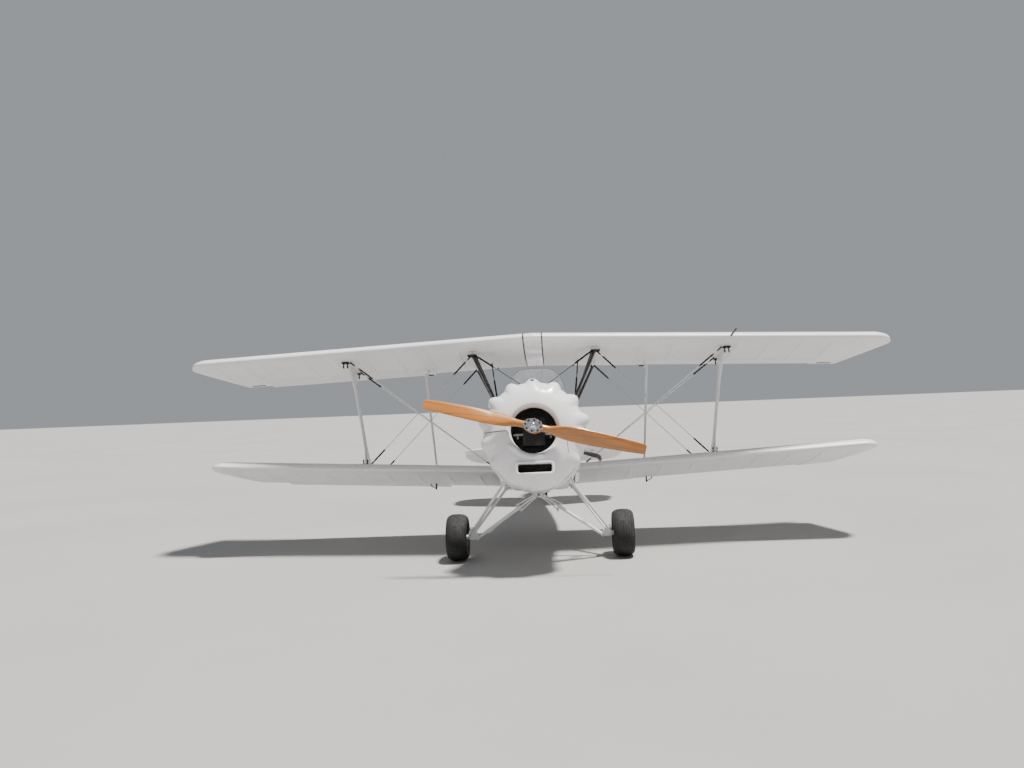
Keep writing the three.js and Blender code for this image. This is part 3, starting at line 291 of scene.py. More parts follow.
def circle(count):
    """Angles in equal steps round a full turn."""
    return [2 * math.pi * i / count for i in range(count)]


class Build:
    """Collects the faces of one piece."""

    def __init__(self):
        self.verts = []
        self.faces = []
        self.marks = []

    def add(self, verts, faces, mark=0):
        base = len(self.verts)
        self.verts.extend(tuple(v) for v in verts)
        self.faces.extend(tuple(base + i for i in face) for face in faces)
        self.marks.extend([mark] * len(faces))
        return self

    def loft(self, rings, mark=0, caps=True):
        """Skin over closed rings of equal length, in order."""
        count = len(rings[0])
        faces = []
        for i in range(len(rings) - 1):
            for j in range(count):
                k = (j + 1) % count
                faces.append((i * count + j, i * count + k, (i + 1) * count + k, (i + 1) * count + j))
        if caps:
            faces.append(tuple(range(count))[::-1])
            faces.append(tuple((len(rings) - 1) * count + j for j in range(count)))
        return self.add([p for ring in rings for p in ring], faces, mark)

    def tube(self, points, radius, sides=12, mark=0):
        """Round tube along points; radius is one number or one for each point."""
        points = [Vector(p) for p in points]
        radii = radius if hasattr(radius, "__len__") else [radius] * len(points)
        normal = None
        rings = []
        for i, point in enumerate(points):
            ahead = points[min(i + 1, len(points) - 1)] - points[max(i - 1, 0)]
            ahead.normalize()
            if normal is None:
                normal = ahead.orthogonal().normalized()
            normal = (normal - ahead * normal.dot(ahead)).normalized()
            side = ahead.cross(normal)
            rings.append([point + (normal * math.cos(a) + side * math.sin(a)) * radii[i]
                          for a in circle(sides)])
        return self.loft(rings, mark)

    def lathe(self, profile, centre, axis, turns=32, mark=0, closed=True):
        """Turned shape: profile rows are radius and distance along the axis."""
        axis = Vector(axis).normalized()
        across = axis.orthogonal().normalized()
        other = axis.cross(across)
        rings = []
        for a in circle(turns):
            out = across * math.cos(a) + other * math.sin(a)
            rings.append([Vector(centre) + out * r + axis * s for r, s in profile])
        count = len(profile)
        faces = []
        for i in range(turns):
            n = (i + 1) % turns
            for j in range(count if closed else count - 1):
                k = (j + 1) % count
                faces.append((i * count + j, n * count + j, n * count + k, i * count + k))
        return self.add([p for ring in rings for p in ring], faces, mark)

    def disc(self, centre, axis, radius, height, sides=16, mark=0, edge=0.15):
        """A short round boss with a chamfered top, from its centre out along the axis."""
        axis = Vector(axis).normalized()
        chamfer = edge * min(radius, abs(height))
        across = axis.orthogonal().normalized()
        other = axis.cross(across)
        rings = []
        for r, s in ((radius, 0), (radius, height - chamfer), (radius - chamfer, height)):
            rings.append([Vector(centre) + (across * math.cos(a) + other * math.sin(a)) * r + axis * s
                          for a in circle(sides)])
        return self.loft(rings, mark)

    def box(self, low, high, mark=0, bevel=0.002):
        """A box with chamfered edges."""
        x0, y0, z0 = low
        x1, y1, z1 = high
        bevel = min(bevel, (x1 - x0) * 0.4, (y1 - y0) * 0.4, (z1 - z0) * 0.4)
        rings = []
        for z, inset in ((z0, bevel), (z0 + bevel, 0), (z1 - bevel, 0), (z1, bevel)):
            a, b, c, d = x0 + inset, x1 - inset, y0 + inset, y1 - inset
            rings.append([(a + bevel, c, z), (b - bevel, c, z), (b, c + bevel, z), (b, d - bevel, z),
                          (b - bevel, d, z), (a + bevel, d, z), (a, d - bevel, z), (a, c + bevel, z)])
        return self.loft(rings, mark)

    def moved(self, matrix):
        self.verts = [tuple(matrix @ Vector(v)) for v in self.verts]
        if matrix.determinant() < 0:
            self.faces = [tuple(reversed(f)) for f in self.faces]
        return self

    def both_sides(self):
        """Adds the mirror image on the other side of the aircraft."""
        marks = self.marks * 2
        self.add([(-x, y, z) for x, y, z in self.verts], [tuple(reversed(f)) for f in self.faces])
        self.marks = marks
        return self

    def object(self, name, materials, slot, body="airframe", replaces=(), smooth=35, origin=None):
        """Makes the object. With an origin matrix, the points are already in that local frame."""
        mesh = bpy.data.meshes.new(name)
        verts = [tuple(LEVEL @ Vector(v)) for v in self.verts] if origin is None else self.verts
        mesh.from_pydata(verts, [], self.faces)
        materials = materials if isinstance(materials, (list, tuple)) else [materials]
        for material in materials:
            mesh.materials.append(material)
        mesh.polygons.foreach_set("material_index", self.marks)
        mesh.polygons.foreach_set("use_smooth", [True] * len(self.faces))
        mesh.update()
        mesh.set_sharp_from_angle(angle=math.radians(smooth))
        made = bpy.data.objects.new(name, mesh)
        if origin is not None:
            made.matrix_world = origin
        bpy.context.scene.collection.objects.link(made)
        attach(made, body)
        if replaces:
            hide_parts(*replaces)
        return made


def edited(made, change):
    """Makes one change to a piece's mesh."""
    edit = bmesh.new()
    edit.from_mesh(made.data)
    change(edit)
    edit.to_mesh(made.data)
    edit.free()
    return made


def outward(made):
    """Turns all of a piece's faces outwards."""
    return edited(made, lambda edit: bmesh.ops.recalc_face_normals(edit, faces=edit.faces))


def merged(made):
    """Joins points that lie on each other."""
    return edited(made, lambda edit: bmesh.ops.remove_doubles(edit, verts=edit.verts, dist=0.00002))


def subtract(piece, cutter_build):
    """Cuts one closed mesh by another."""
    cutter = outward(cutter_build.object("cutter_shape", DARK_CORE, "dark_core"))
    cut = piece.modifiers.new("cut", "BOOLEAN")
    cut.operation = "DIFFERENCE"
    cut.solver = "EXACT"
    cut.object = cutter
    graph = bpy.context.evaluated_depsgraph_get()
    done = bpy.data.meshes.new_from_object(piece.evaluated_get(graph))
    piece.modifiers.clear()
    old = piece.data
    piece.data = done
    done.name = old.name
    bpy.data.objects.remove(cutter)


def catmull(points, per_segment):
    """Smooth curve through points of any number of columns."""
    points = np.asarray(points, float)
    padded = np.vstack([2 * points[0] - points[1], points, 2 * points[-1] - points[-2]])
    out = []
    for i in range(len(points) - 1):
        p0, p1, p2, p3 = padded[i:i + 4]
        for t in np.linspace(0, 1, per_segment, endpoint=False):
            out.append(0.5 * (2 * p1 + (p2 - p0) * t + (2 * p0 - 5 * p1 + 4 * p2 - p3) * t * t
                              + (3 * p1 - p0 - 3 * p2 + p3) * t ** 3))
    out.append(points[-1])
    return np.array(out)


def between(a, b, share):
    return Vector(a).lerp(Vector(b), share)


def faired(build, foot, top, length, width, sides=24):
    """A streamlined tube, long in y and thin across."""
    rings = []
    for end in (foot, top):
        rings.append([Vector(end) + Vector((width / 2 * math.cos(a), length / 2 * math.sin(a), 0))
                      for a in circle(sides)])
    return build.loft(rings)


# Wings

CHORD = 0.98
FRONT_SPAR = 0.216
REAR_SPAR = 0.69
AILERON_HINGE = 0.76
AILERON_NOSE = 0.026
AILERON_GAP = 0.007
AILERON_END_GAP = 0.009
BAY_END = AILERON_HINGE - (AILERON_NOSE + AILERON_GAP) / CHORD
RIB_SPACING = 0.30
TAPE_HALF = 0.013
TAPE_RISE = 0.0009
SAG = 0.0055

# Section ordinates in shares of the chord: station, upper surface, lower surface
AIRFOIL = (
    (0.000, 0.0000, 0.0000), (0.0125, 0.0267, -0.0123), (0.050, 0.0491, -0.0226), (0.100, 0.0643, -0.0292),
    (0.200, 0.0750, -0.0397), (0.300, 0.0755, -0.0446), (0.450, 0.0682, -0.0436), (0.600, 0.0547, -0.0367),
    (0.760, 0.0360, -0.0250), (0.900, 0.0168, -0.0123), (1.000, 0.0028, -0.0028),
)
# Share of the way from the rake's start to the tip, chord start, chord end, thickness
TIP_STATIONS = (
    (0.00, 0.00, 1.00, 1.00), (0.33, 0.00, 0.77, 0.90), (0.60, 0.02, 0.58, 0.72),
    (0.82, 0.07, 0.42, 0.50), (1.00, 0.17, 0.29, 0.16),
)
HINGE_RISE = 0.5 * (0.0360 - 0.0250) * CHORD


class Wing:
    def __init__(self, leading_y, z, sweep, dihedral, incidence, root, tip, rake, aileron):
        self.leading_y, self.z = leading_y, z
        self.sweep, self.dihedral = math.tan(math.radians(sweep)), math.tan(math.radians(dihedral))
        self.incidence = math.radians(incidence)
        self.root, self.tip, self.rake, self.aileron = root, tip, rake, aileron
        self.pitch = Matrix.Rotation(-self.incidence, 4, "X")
        self.shear = Matrix(((1, 0, 0, 0), (self.sweep, 1, 0, 0), (self.dihedral, 0, 1, 0), (0, 0, 0, 1)))
        self.matrix = Matrix.Translation((0, leading_y, z)) @ self.pitch @ self.shear

    def point(self, x, share, height=0.0):
        return self.matrix @ Vector((x, share * CHORD, height))

    def axis(self, sign=1):
        axis = (self.pitch @ Vector((1, self.sweep, self.dihedral))).normalized()
        return Vector((axis.x, sign * axis.y, sign * axis.z))

    def hinge(self, sign, deflection):
        """Places a control surface that is drawn about its hinge line."""
        return (Matrix.Translation(self.point(0, AILERON_HINGE, HINGE_RISE))
                @ Matrix.Rotation(deflection, 4, self.axis(sign)) @ self.pitch @ flipped(sign) @ self.shear)


def flipped(sign):
    return Matrix.Diagonal((sign, 1, 1, 1))


UPPER = Wing(-0.382, 1.662, 8, 0, 1.8, 0.084, 3.240, 2.970, (0.980, 2.700))
LOWER = Wing(0.295, 0.572, -1.3, 2.65, 3.2, 0.250, 3.075, 2.850, (0.900, 2.560))
WINGS = {"upper": UPPER, "lower": LOWER}
DEFLECTION = {1: math.radians(1.5), -1: math.radians(-4)}


def ribs_between(start, end):
    count = max(2, round((end - start) / RIB_SPACING) + 1)
    return np.linspace(start, end, count)


def rib_stations(ribs, extra=()):
    """Span stations that resolve each rib's tape and the fabric's sag between ribs."""
    stations = set(extra)
    for a, b in zip(ribs, ribs[1:]):
        stations.update((a, a + TAPE_HALF, a + TAPE_HALF + 0.002, b - TAPE_HALF - 0.002, b - TAPE_HALF))
        stations.update(np.linspace(a + 0.03, b - 0.03, 5))
    stations.add(ribs[-1])
    return sorted(stations)


def fabric_offset(x, ribs):
    """How far the fabric stands off the ribs' line at span station x."""
    nearest = min(abs(x - r) for r in ribs)
    if nearest <= TAPE_HALF + 1e-6:
        return TAPE_RISE
    inside = [(a, b) for a, b in zip(ribs, ribs[1:]) if a <= x <= b]
    if not inside:
        return 0.0
    a, b = inside[0]
    t = (x - a) / (b - a)
    return -SAG * (1 - (2 * t - 1) ** 2) ** 0.8


def airfoil_ring(x, start, end, clip, thickness, offset, samples=26):
    """One closed section: upper surface from the trailing edge forward, then the lower one back."""
    stations = [row[0] for row in AIRFOIL]
    roots = np.sqrt(stations)
    shares = clip * (1 - np.cos(np.linspace(0, math.pi, samples))) / 2
    upper = pchip(roots, [row[1] for row in AIRFOIL], np.sqrt(shares))
    lower = pchip(roots, [row[2] for row in AIRFOIL], np.sqrt(shares))
    soft = np.clip((shares - 0.09) / 0.08, 0, 1) * np.clip((1 - shares) / 0.12, 0, 1) * offset
    place = CHORD * (start + shares * (end - start))
    top = [(x, y, CHORD * thickness * h + s) for y, h, s in zip(place, upper, soft)]
    bottom = [(x, y, CHORD * thickness * h - s) for y, h, s in zip(place, lower, soft)]
    return top[::-1] + bottom[1:]


def wing_panel(wing):
    inner, outer = wing.aileron
    ribs = ribs_between(wing.root + TAPE_HALF, wing.rake)
    seam = 0.0006
    tips = [wing.rake + s * (wing.tip - wing.rake) for s in np.linspace(0.05, 1, 22) ** 0.85]
    rows = list(zip(*TIP_STATIONS))
    rings = []
    for x in rib_stations(ribs, [wing.root, inner, inner + seam, outer - seam, outer, *tips]):
        share = np.clip((x - wing.rake) / (wing.tip - wing.rake), 0, 1)
        start, end, thick = (float(pchip(rows[0], rows[k], [share])[0]) for k in (1, 2, 3))
        clip = BAY_END if inner + seam / 2 < x < outer - seam / 2 else 1.0
        rings.append(airfoil_ring(x, start, end, clip, thick, fabric_offset(x, ribs)))
    return Build().loft(rings)


def make_wings():
    for label, wing in WINGS.items():
        for side, sign in SIDES:
            panel = wing_panel(wing).moved(flipped(sign) @ wing.matrix)
            outward(panel.object(f"{label}_wing_skin_{side}", WHITE_FABRIC, "white_fabric",
                                 replaces=[f"{label}_wing_{side}"], smooth=50))


def make_centre_section():
    half = UPPER.root - 0.006
    rings = []
    for x in np.linspace(-half, half, 9):
        rings.append([(p[0], p[1] + abs(x) * UPPER.sweep, p[2]) for p in airfoil_ring(x, 0, 1, 1, 1, 0.0)])
    centre = Build().loft(rings).moved(Matrix.Translation((0, UPPER.leading_y, UPPER.z)) @ UPPER.pitch)
    outward(centre.object("centre_section_skin", WHITE_PAINT, "white_fabric", replaces=["upper_wing_centre"],
                          smooth=50))


def make_wing_seals():
    """Black strips over the joints between the centre section and the panels."""
    seals = Build()
    rings = [airfoil_ring(x, -0.002, 1.001, 1, 1.03, 0.0) for x in (UPPER.root - 0.0085, UPPER.root + 0.0025)]
    seals.loft(rings).moved(UPPER.matrix).both_sides()
    outward(seals.object("wing_joint_seals", TYRE_RUBBER, "tyre_rubber", smooth=50))
    stops = Build()
    tail = UPPER.point(0.364, 1.0)
    stops.box((tail.x - 0.008, tail.y - 0.050, tail.z - 0.009),
              (tail.x + 0.008, tail.y + 0.004, tail.z + 0.005))
    stops.both_sides()
    outward(stops.object("wing_fold_stops", DARK_FITTING, "black_paint"))
    slots = Build()
    for x in (2.808, 2.880):
        place = UPPER.point(x, 0.944, -0.0072)
        slots.box((place.x - 0.036, place.y - 0.007, place.z - 0.003),
                  (place.x + 0.036, place.y + 0.007, place.z + 0.003))
    slots.both_sides()
    outward(slots.object("wing_tip_slots", DARK_FITTING, "black_paint"))


# Slave strut pins about the hinge: span station, arm, rise
SLAVES = {"upper": (1.046, 0.095, -0.055), "lower": (1.005, 0.040, 0.040)}
PUSHROD_X = 1.045
HORN_HALF = 0.004
LINK_ASIDE = 0.022


def aileron(wing, label):
    inner, outer = wing.aileron
    tail = (1 - AILERON_HINGE) * CHORD
    edges = (inner + AILERON_END_GAP, outer - AILERON_END_GAP)
    ribs = ribs_between(edges[0] + TAPE_HALF, edges[1] - TAPE_HALF)
    rings = []
    for x in rib_stations(ribs, edges):
        offset = fabric_offset(x, ribs)
        nose = [(AILERON_NOSE * math.cos(a), AILERON_NOSE * math.sin(a))
                for a in np.linspace(math.pi / 2, 1.5 * math.pi, 13)]
        sides = []
        for sign in (-1, 1):
            for share in np.linspace(0.08, 1, 9)[::-sign]:
                edge = min(1, (1 - share) / 0.15, share / 0.15)
                height = AILERON_NOSE + share * (0.003 - AILERON_NOSE) + offset * edge
                sides.append((share * tail, sign * height - share * HINGE_RISE))
        rings.append([(x, y, z) for y, z in nose + sides])
    build = Build().loft(rings)
    x, arm, rise = SLAVES[label]
    reach = rise + math.copysign(0.012, rise)
    build.box((x - HORN_HALF, arm - 0.024, min(0, reach)), (x + HORN_HALF, arm + 0.024, max(0, reach)))
    if label == "lower":
        pushrod_horn(build)
    else:
        build.box((edges[0] + 0.001, arm - 0.010, rise - 0.004),
                  (x + HORN_HALF, arm + 0.010, rise + 0.004), 1)
    return build


def pushrod_horn(build):
    """A horn of bent strap under the lower aileron, with the pushrod's bolt at its foot."""
    low = -0.075
    build.box((PUSHROD_X - HORN_HALF, 0.010, low), (PUSHROD_X + HORN_HALF, 0.080, 0), 1)
    corner = Vector((PUSHROD_X, 0.030, low + 0.006))
    end = Vector((PUSHROD_X + 0.052, 0.030, low + 0.030))
    build.tube([corner, end], 0.0045, 10, 1)
    build.tube([end, end + Vector((0, 0, 0.060))], 0.0045, 10, 1)
    build.tube([corner + Vector((0, -0.014, 0)), corner + Vector((0, 0.014, 0))], 0.009, 12, 1)


def make_ailerons():
    for label, wing in WINGS.items():
        for side, sign in SIDES:
            body = f"aileron_{label}_{side}"
            surface = aileron(wing, label).moved(wing.hinge(sign, DEFLECTION[sign]))
            outward(surface.object(f"{body}_skin", [WHITE_FABRIC, DARK_FITTING], "white_fabric", body, [body],
                                   smooth=50))


def slave_pin(label, sign):
    wing = WINGS[label]
    x, arm, rise = SLAVES[label]
    hinge = wing.point(x, AILERON_HINGE, HINGE_RISE)
    turned = Matrix.Rotation(DEFLECTION[sign], 4, wing.axis()) @ wing.pitch @ Vector((0, arm, rise))
    place = hinge + turned
    return Vector((sign * place.x, place.y, place.z))


def make_links():
    for side, sign in SIDES:
        upper, lower = slave_pin("upper", sign), slave_pin("lower", sign)
        aside = Vector((sign * LINK_ASIDE, 0, 0))
        link = Build().tube([lower + aside, upper + aside], 0.011, 20)
        for pin in (upper, lower):
            link.tube([pin + aside * 0.42, pin + aside * 1.37], 0.0125, 20)
            link.tube([pin + aside * 1.37, pin + aside * 1.6], 0.006, 6)
        outward(link.object(f"aileron_link_tube_{side}", WHITE_TUBE, "white_tube", f"aileron_link_{side}",
                            [f"aileron_link_{side}"]))


make_wings()
make_centre_section()
make_wing_seals()
make_ailerons()
make_links()


# Cowl

COWL_Z = 0.775
INTAKE_RADIUS = 0.178
BUMP_COUNT = 14
BUMP_HEIGHT = {"top": 0.033, "side": 0.046}
BUMP_HALF_WIDTH = 0.35
BUMP_STEPS = 26
CHIN = 0.052
# The seam between the halves, in degrees
COWL_GAP = 0.35
# Outer profile: radius, station, share of the bump's height above, and below the split
COWL_PROFILE = (
    (0.178, -0.905, 0, 0), (0.182, -0.925, 0, 0), (0.194, -0.940, 0, 0), (0.214, -0.948, 0, 0),
    (0.265, -0.938, 0, 0), (0.315, -0.918, 0.05, 0.3), (0.352, -0.888, 0.45, 0.9), (0.388, -0.845, 0.85, 1.0),
    (0.404, -0.790, 1, 0.6), (0.410, -0.720, 0.85, 0.25), (0.410, -0.650, 0.35, 0.05), (0.406, -0.590, 0, 0),
    (0.398, -0.440, 0, 0),
)
COWL_OUTER = catmull(COWL_PROFILE, 5)
COWL_INNER = ((0.388, -0.440), (0.388, -0.770), (0.322, -0.885), (0.225, -0.926), (0.190, -0.915))


def bump_at(angle):
    """Height of the rocker bumps round the cowl: tallest at the sides, faint underneath."""
    turn = (angle - math.pi / 2) * BUMP_COUNT / (2 * math.pi)
    down = max(0.0, -math.sin(angle))
    height = BUMP_HEIGHT["top"] + (BUMP_HEIGHT["side"] - BUMP_HEIGHT["top"]) * math.cos(angle) ** 2
    offset = abs(turn - round(turn)) / BUMP_HALF_WIDTH
    return height * (1 - 0.7 * down ** 0.7) * max(0.0, 1 - offset ** 2.2) ** 1.6


def cowl_point(angle, radius, y, upper_share, lower_share):
    down = max(0.0, -math.sin(angle))
    share = upper_share + (lower_share - upper_share) * min(1.0, 2.5 * down)
    out = max(0.0, (radius - INTAKE_RADIUS) / (0.400 - INTAKE_RADIUS))
    r = radius + bump_at(angle) * share + CHIN * down * down * out
    return (r * math.cos(angle), y, COWL_Z + r * math.sin(angle))


def cowl_side(angle, y):
    """A point of the cowl behind its rounded front."""
    rows = COWL_OUTER[30:]
    row = [float(np.interp(y, rows[:, 1], rows[:, i])) for i in range(4)]
    return Vector(cowl_point(angle, *row))


def cowl_face(x, z):
    """A point of the cowl's front face."""
    angle = math.atan2(z - COWL_Z, x)
    points = [cowl_point(angle, *row) for row in COWL_OUTER[15:40]]
    radii = [math.hypot(p[0], p[2] - COWL_Z) for p in points]
    return Vector((x, float(np.interp(math.hypot(x, z - COWL_Z), radii, [p[1] for p in points])), z))


def cowl_half(start, end):
    """The cowl's wall between two places round it, in degrees."""
    rows = [*COWL_OUTER, *((r, y, 0, 0) for r, y in COWL_INNER)]
    rings = []
    for angle in np.radians(np.linspace(start, end, BUMP_COUNT // 2 * BUMP_STEPS + 1)):
        rings.append([cowl_point(angle, *row) for row in rows])
    return Build().loft(rings)


RADIATOR = {"half": 0.130, "low": 0.446, "high": 0.513, "front": -0.958, "frame": 0.021}
# Ridge round the intake's lower edge: place round the cowl in degrees, radius of its middle
INTAKE_RIDGE = ((203, 0.233), (225, 0.212), (248, 0.211), (270, 0.212), (297, 0.215))


def rounded_rectangle(half_width, low, high, corner, y):
    middle, half_height = (low + high) / 2, (high - low) / 2
    points = []
    for quarter, sx, sz in ((0, 1, 1), (1, -1, 1), (2, -1, -1), (3, 1, -1)):
        for t in np.linspace(0, math.pi / 2, 6):
            a = quarter * math.pi / 2 + t
            points.append((sx * (half_width - corner) + corner * math.cos(a), y,
                           middle + sz * (half_height - corner) + corner * math.sin(a)))
    return points


def radiator_duct(build):
    half, low, high = RADIATOR["half"], RADIATOR["low"], RADIATOR["high"]
    front, rim = RADIATOR["front"], RADIATOR["frame"]
    # Section of the frame from its outer rear edge forward and back inside: inset, station, corner
    rows = ((0, -0.85, 0.030), (0, front + 0.008, 0.030), (0.003, front + 0.002, 0.027),
            (0.008, front, 0.024), (rim - 0.006, front, 0.018), (rim - 0.002, front + 0.003, 0.015),
            (rim, front + 0.010, 0.014), (rim, -0.83, 0.014))
    rings = [rounded_rectangle(half + rim - i, low - rim + i, high + rim - i, c, y) for i, y, c in rows]
    return build.loft(rings, caps=False)


def intake_ridge(build):
    steps = 40
    degrees = np.linspace(INTAKE_RIDGE[0][0], INTAKE_RIDGE[-1][0], steps + 1)
    radii = pchip(*zip(*INTAKE_RIDGE), degrees)
    path = [(r * math.cos(a), -0.938, COWL_Z + r * math.sin(a)) for r, a in zip(radii, np.radians(degrees))]
    swell = [0.024 * min(1.0, 0.35 + 5 * min(i, steps - i) / steps) for i in range(steps + 1)]
    return build.tube(path, swell, 24)


def vent_place():
    """Middle and outward direction of the vent in the front of the top bump."""
    return cowl_side(math.pi / 2, -0.853), Vector((0, -0.88, 0.48)).normalized()


def cowl_shell(half, start, end):
    return outward(cowl_half(start, end).object(f"cowl_{half}_shell", WHITE_PAINT, "white_paint",
                                                replaces=[f"cowl_{half}"], smooth=40))


def make_cowl():
    upper = cowl_shell("upper", COWL_GAP, 180 - COWL_GAP)
    place, ahead = vent_place()
    subtract(upper, Build().tube([place - ahead * 0.025, place + ahead * 0.060], 0.0160, 32))
    lower = cowl_shell("lower", 180, 360)
    half, low, high = RADIATOR["half"] + 0.006, RADIATOR["low"] - 0.006, RADIATOR["high"] + 0.006
    opening = Build().loft([rounded_rectangle(half, low, high, 0.016, y) for y in (-1.0, -0.75)])
    subtract(lower, opening)
    front = radiator_duct(intake_ridge(Build()))
    outward(front.object("radiator_frame", WHITE_PAINT, "white_paint", smooth=40))


def make_radiator():
    half, low, high = RADIATOR["half"], RADIATOR["low"], RADIATOR["high"]
    core = Build()
    core.box((-half + 0.004, -0.868, low + 0.004), (half - 0.004, -0.76, high - 0.004))
    for x in np.arange(-half + 0.007, half - 0.006, 0.0045):
        core.box((x - 0.0005, -0.880, low + 0.005), (x + 0.0005, -0.866, high - 0.005), bevel=0.0001)
    for z in np.linspace(low + 0.009, high - 0.009, 6):
        core.box((-half + 0.005, -0.878, z - 0.0012), (half - 0.005, -0.866, z + 0.0012), bevel=0.0004)
    outward(core.object("radiator_matrix", DARK_CORE, "dark_core", replaces=["radiator_core"]))
    height = COWL_Z - 0.0165
    bar = Build().tube([(-0.1655, -0.803, height), (0.1655, -0.803, height)], 0.0125, 24)
    for x in (-0.130, 0.130):
        bar.box((x - 0.008, -0.815, COWL_Z - 0.053), (x + 0.008, -0.790, height + 0.010))
    outward(bar.object("engine_front_bar", RIM_METAL, "rim_metal"))


def make_cowl_fittings():
    """The vent in the top bump, dark lines of painted shade along the split and down a lower bump's side, and
    the screws along the split and the rear edge.
    """
    middle, ahead = vent_place()
    vent = Build()
    rim = [(0.0153, -0.024), (0.0153, 0.001), (0.0170, 0.003), (0.0205, 0.001), (0.0225, -0.006)]
    vent.lathe(rim, middle, ahead)
    vent.disc(middle - ahead * 0.0240, ahead, 0.0157, 0.002, 32, 1)
    outward(vent.object("cowl_vent", [WHITE_PAINT, DARK_CORE], "white_paint"))
    # Dark lines of painted shade on both sides: along the split's gap and its bend by the intake, where the
    # gap lies in shade.
    seam_shade_lines = Build()
    path = [(x, COWL_Z - 0.0015) for x in np.linspace(0.385, 0.235, 13)]
    path += [(0.222 + 0.030 * math.cos(a), COWL_Z - 0.0315 + 0.030 * math.sin(a))
             for a in np.linspace(math.pi / 2, math.pi, 9)]
    for sign in (1, -1):
        seam_shade_lines.tube([cowl_face(sign * x, z) for x, z in path], 0.0021, 8)
    # Painted shade: a dark line down the side of a lower bump on the left, where the bump turns away from the
    # light.
    seam_shade_lines.tube([cowl_face(0.250 + 0.012 * t, 0.728 - 0.135 * t) for t in np.linspace(0, 1, 14)], 0.0019, 8)
    outward(seam_shade_lines.object("cowl_seam_shade_lines", DARK_FITTING, "black_paint"))
    screws = Build()
    for angle in np.radians(np.arange(7, 360, 15)):
        place = Vector(cowl_point(angle, 0.3983, -0.462, 0, 0))
        out = Vector((math.cos(angle), 0, math.sin(angle)))
        screws.disc(place - out * 0.001, out, 0.0065, 0.0028, 12, 0, 0.4)
    for side in (-1, 1):
        for y in (-0.86, -0.78, -0.70, -0.62, -0.54, -0.47):
            place = cowl_side(math.radians(-2.6 if side > 0 else 182.6), y)
            screws.disc(place - Vector((side * 0.001, 0, 0)), (side, 0, 0), 0.0065, 0.0035, 12, 0, 0.4)
    outward(screws.object("cowl_screws", POLISHED_METAL, "polished_metal"))


make_cowl()
make_radiator()
make_cowl_fittings()


# Propeller, drawn about its own axis

THRUST_Z = 0.792
PROPELLER_Y = -1.000
PARK = math.radians(14)
PROPELLER = LEVEL @ Matrix.Translation((0, PROPELLER_Y, THRUST_Z)) @ Matrix.Rotation(PARK, 4, "Y")
# Blade stations: radius, chord, thickness
BLADE = (
    (0.030, 0.072, 0.064), (0.075, 0.058, 0.058), (0.113, 0.057, 0.053), (0.160, 0.074, 0.046),
    (0.230, 0.104, 0.034), (0.325, 0.119, 0.025), (0.440, 0.117, 0.019), (0.560, 0.109, 0.014),
    (0.720, 0.095, 0.010), (0.840, 0.079, 0.007), (0.866, 0.070, 0.006), (0.872, 0.058, 0.004),
)
BLADE_PITCH = 0.95
# Half length and rounded edge of the wooden hub, and the radii across and up its oval
HUB_PROFILE = ((0.0, 0.036), (0.065, 0.036), (0.071, 0.033), (0.074, 0.026))
HUB_ACROSS = 0.074
HUB_UP = 0.057
PLATE_BOLTS = 8


def blade():
    radii = np.concatenate([np.linspace(0.03, 0.84, 46), np.linspace(0.848, 0.872, 7)])
    rows = list(zip(*BLADE))
    chords, depths = pchip(rows[0], rows[1], radii), pchip(rows[0], rows[2], radii)
    rings = []
    for radius, chord, depth in zip(radii, chords, depths):
        pitch = min(0.22 + 0.6 * radius, math.atan(BLADE_PITCH / (2 * math.pi * radius)))
        ring = []
        for a in circle(28):
            across = chord / 2 * math.cos(a)
            through = depth / 2 * math.sin(a)
            through *= 1.0 if through < 0 else 0.75
            ring.append((radius, -across * math.sin(pitch) + through * math.cos(pitch),
                         across * math.cos(pitch) + through * math.sin(pitch)))
        rings.append(ring)
    return Build().loft(rings)


def make_propeller():
    wood = blade()
    other = blade().moved(Matrix.Rotation(math.pi, 4, "Y"))
    wood.add(other.verts, other.faces)
    profile = [(r, -s) for r, s in HUB_PROFILE] + [*HUB_PROFILE[::-1]]
    hub = Build().lathe(profile, (0, 0, 0), (0, 1, 0), 48, closed=False)
    hub.moved(Matrix.Diagonal((1, 1, HUB_UP / HUB_ACROSS, 1)))
    wood.add(hub.verts, hub.faces)
    outward(wood.object("propeller_wood", VARNISHED_WOOD, "varnished_wood", "propeller", ["propeller_blades"],
                        origin=PROPELLER, smooth=45))
    make_hub_plate()


def make_hub_plate():
    """A polished plate with a scalloped edge, its bolts and the middle boss, before the wooden hub."""
    front = -0.0365
    build = Build()
    outline = []
    for a in circle(96):
        scallop = 0.0050 * math.cos(PLATE_BOLTS * a)
        outline.append(((0.0745 + scallop) * math.cos(a), (0.0540 + scallop) * math.sin(a)))
    rows = ((1.0, front), (1.0, front - 0.007), (0.975, front - 0.0095), (0.86, front - 0.0095),
            (0.83, front - 0.0075), (0.52, front - 0.0075), (0.49, front - 0.011), (0.40, front - 0.0125))
    build.loft([[(x * s, y, z * s) for x, z in outline] for s, y in rows])
    for a in circle(PLATE_BOLTS):
        place = Vector((0.0610 * math.cos(a), front - 0.0085, 0.0430 * math.sin(a)))
        build.disc(place, (0, -1, 0), 0.0105, 0.0030, 20, 0)
        build.disc(place + Vector((0, -0.0030, 0)), (0, -1, 0), 0.0078, 0.0045, 6, 1)
        build.disc(place + Vector((0, -0.0075, 0)), (0, -1, 0), 0.0038, 0.0030, 12, 1)
    boss = [(0.0, -0.030), (0.013, -0.030), (0.019, -0.026), (0.023, -0.016), (0.026, -0.006), (0.028, 0.0),
            (0.0, 0.0)]
    build.lathe(boss, (0, front - 0.010, 0), (0, 1, 0), closed=False)
    outward(build.object("propeller_hub_face", [POLISHED_METAL, DARK_FITTING], "polished_metal", "propeller",
                         ["propeller_hub_plate"], origin=PROPELLER))


make_propeller()


# Wheels

WHEEL_X = 0.711
RIM_RADIUS = 0.088
WHEEL_HALF = 0.089


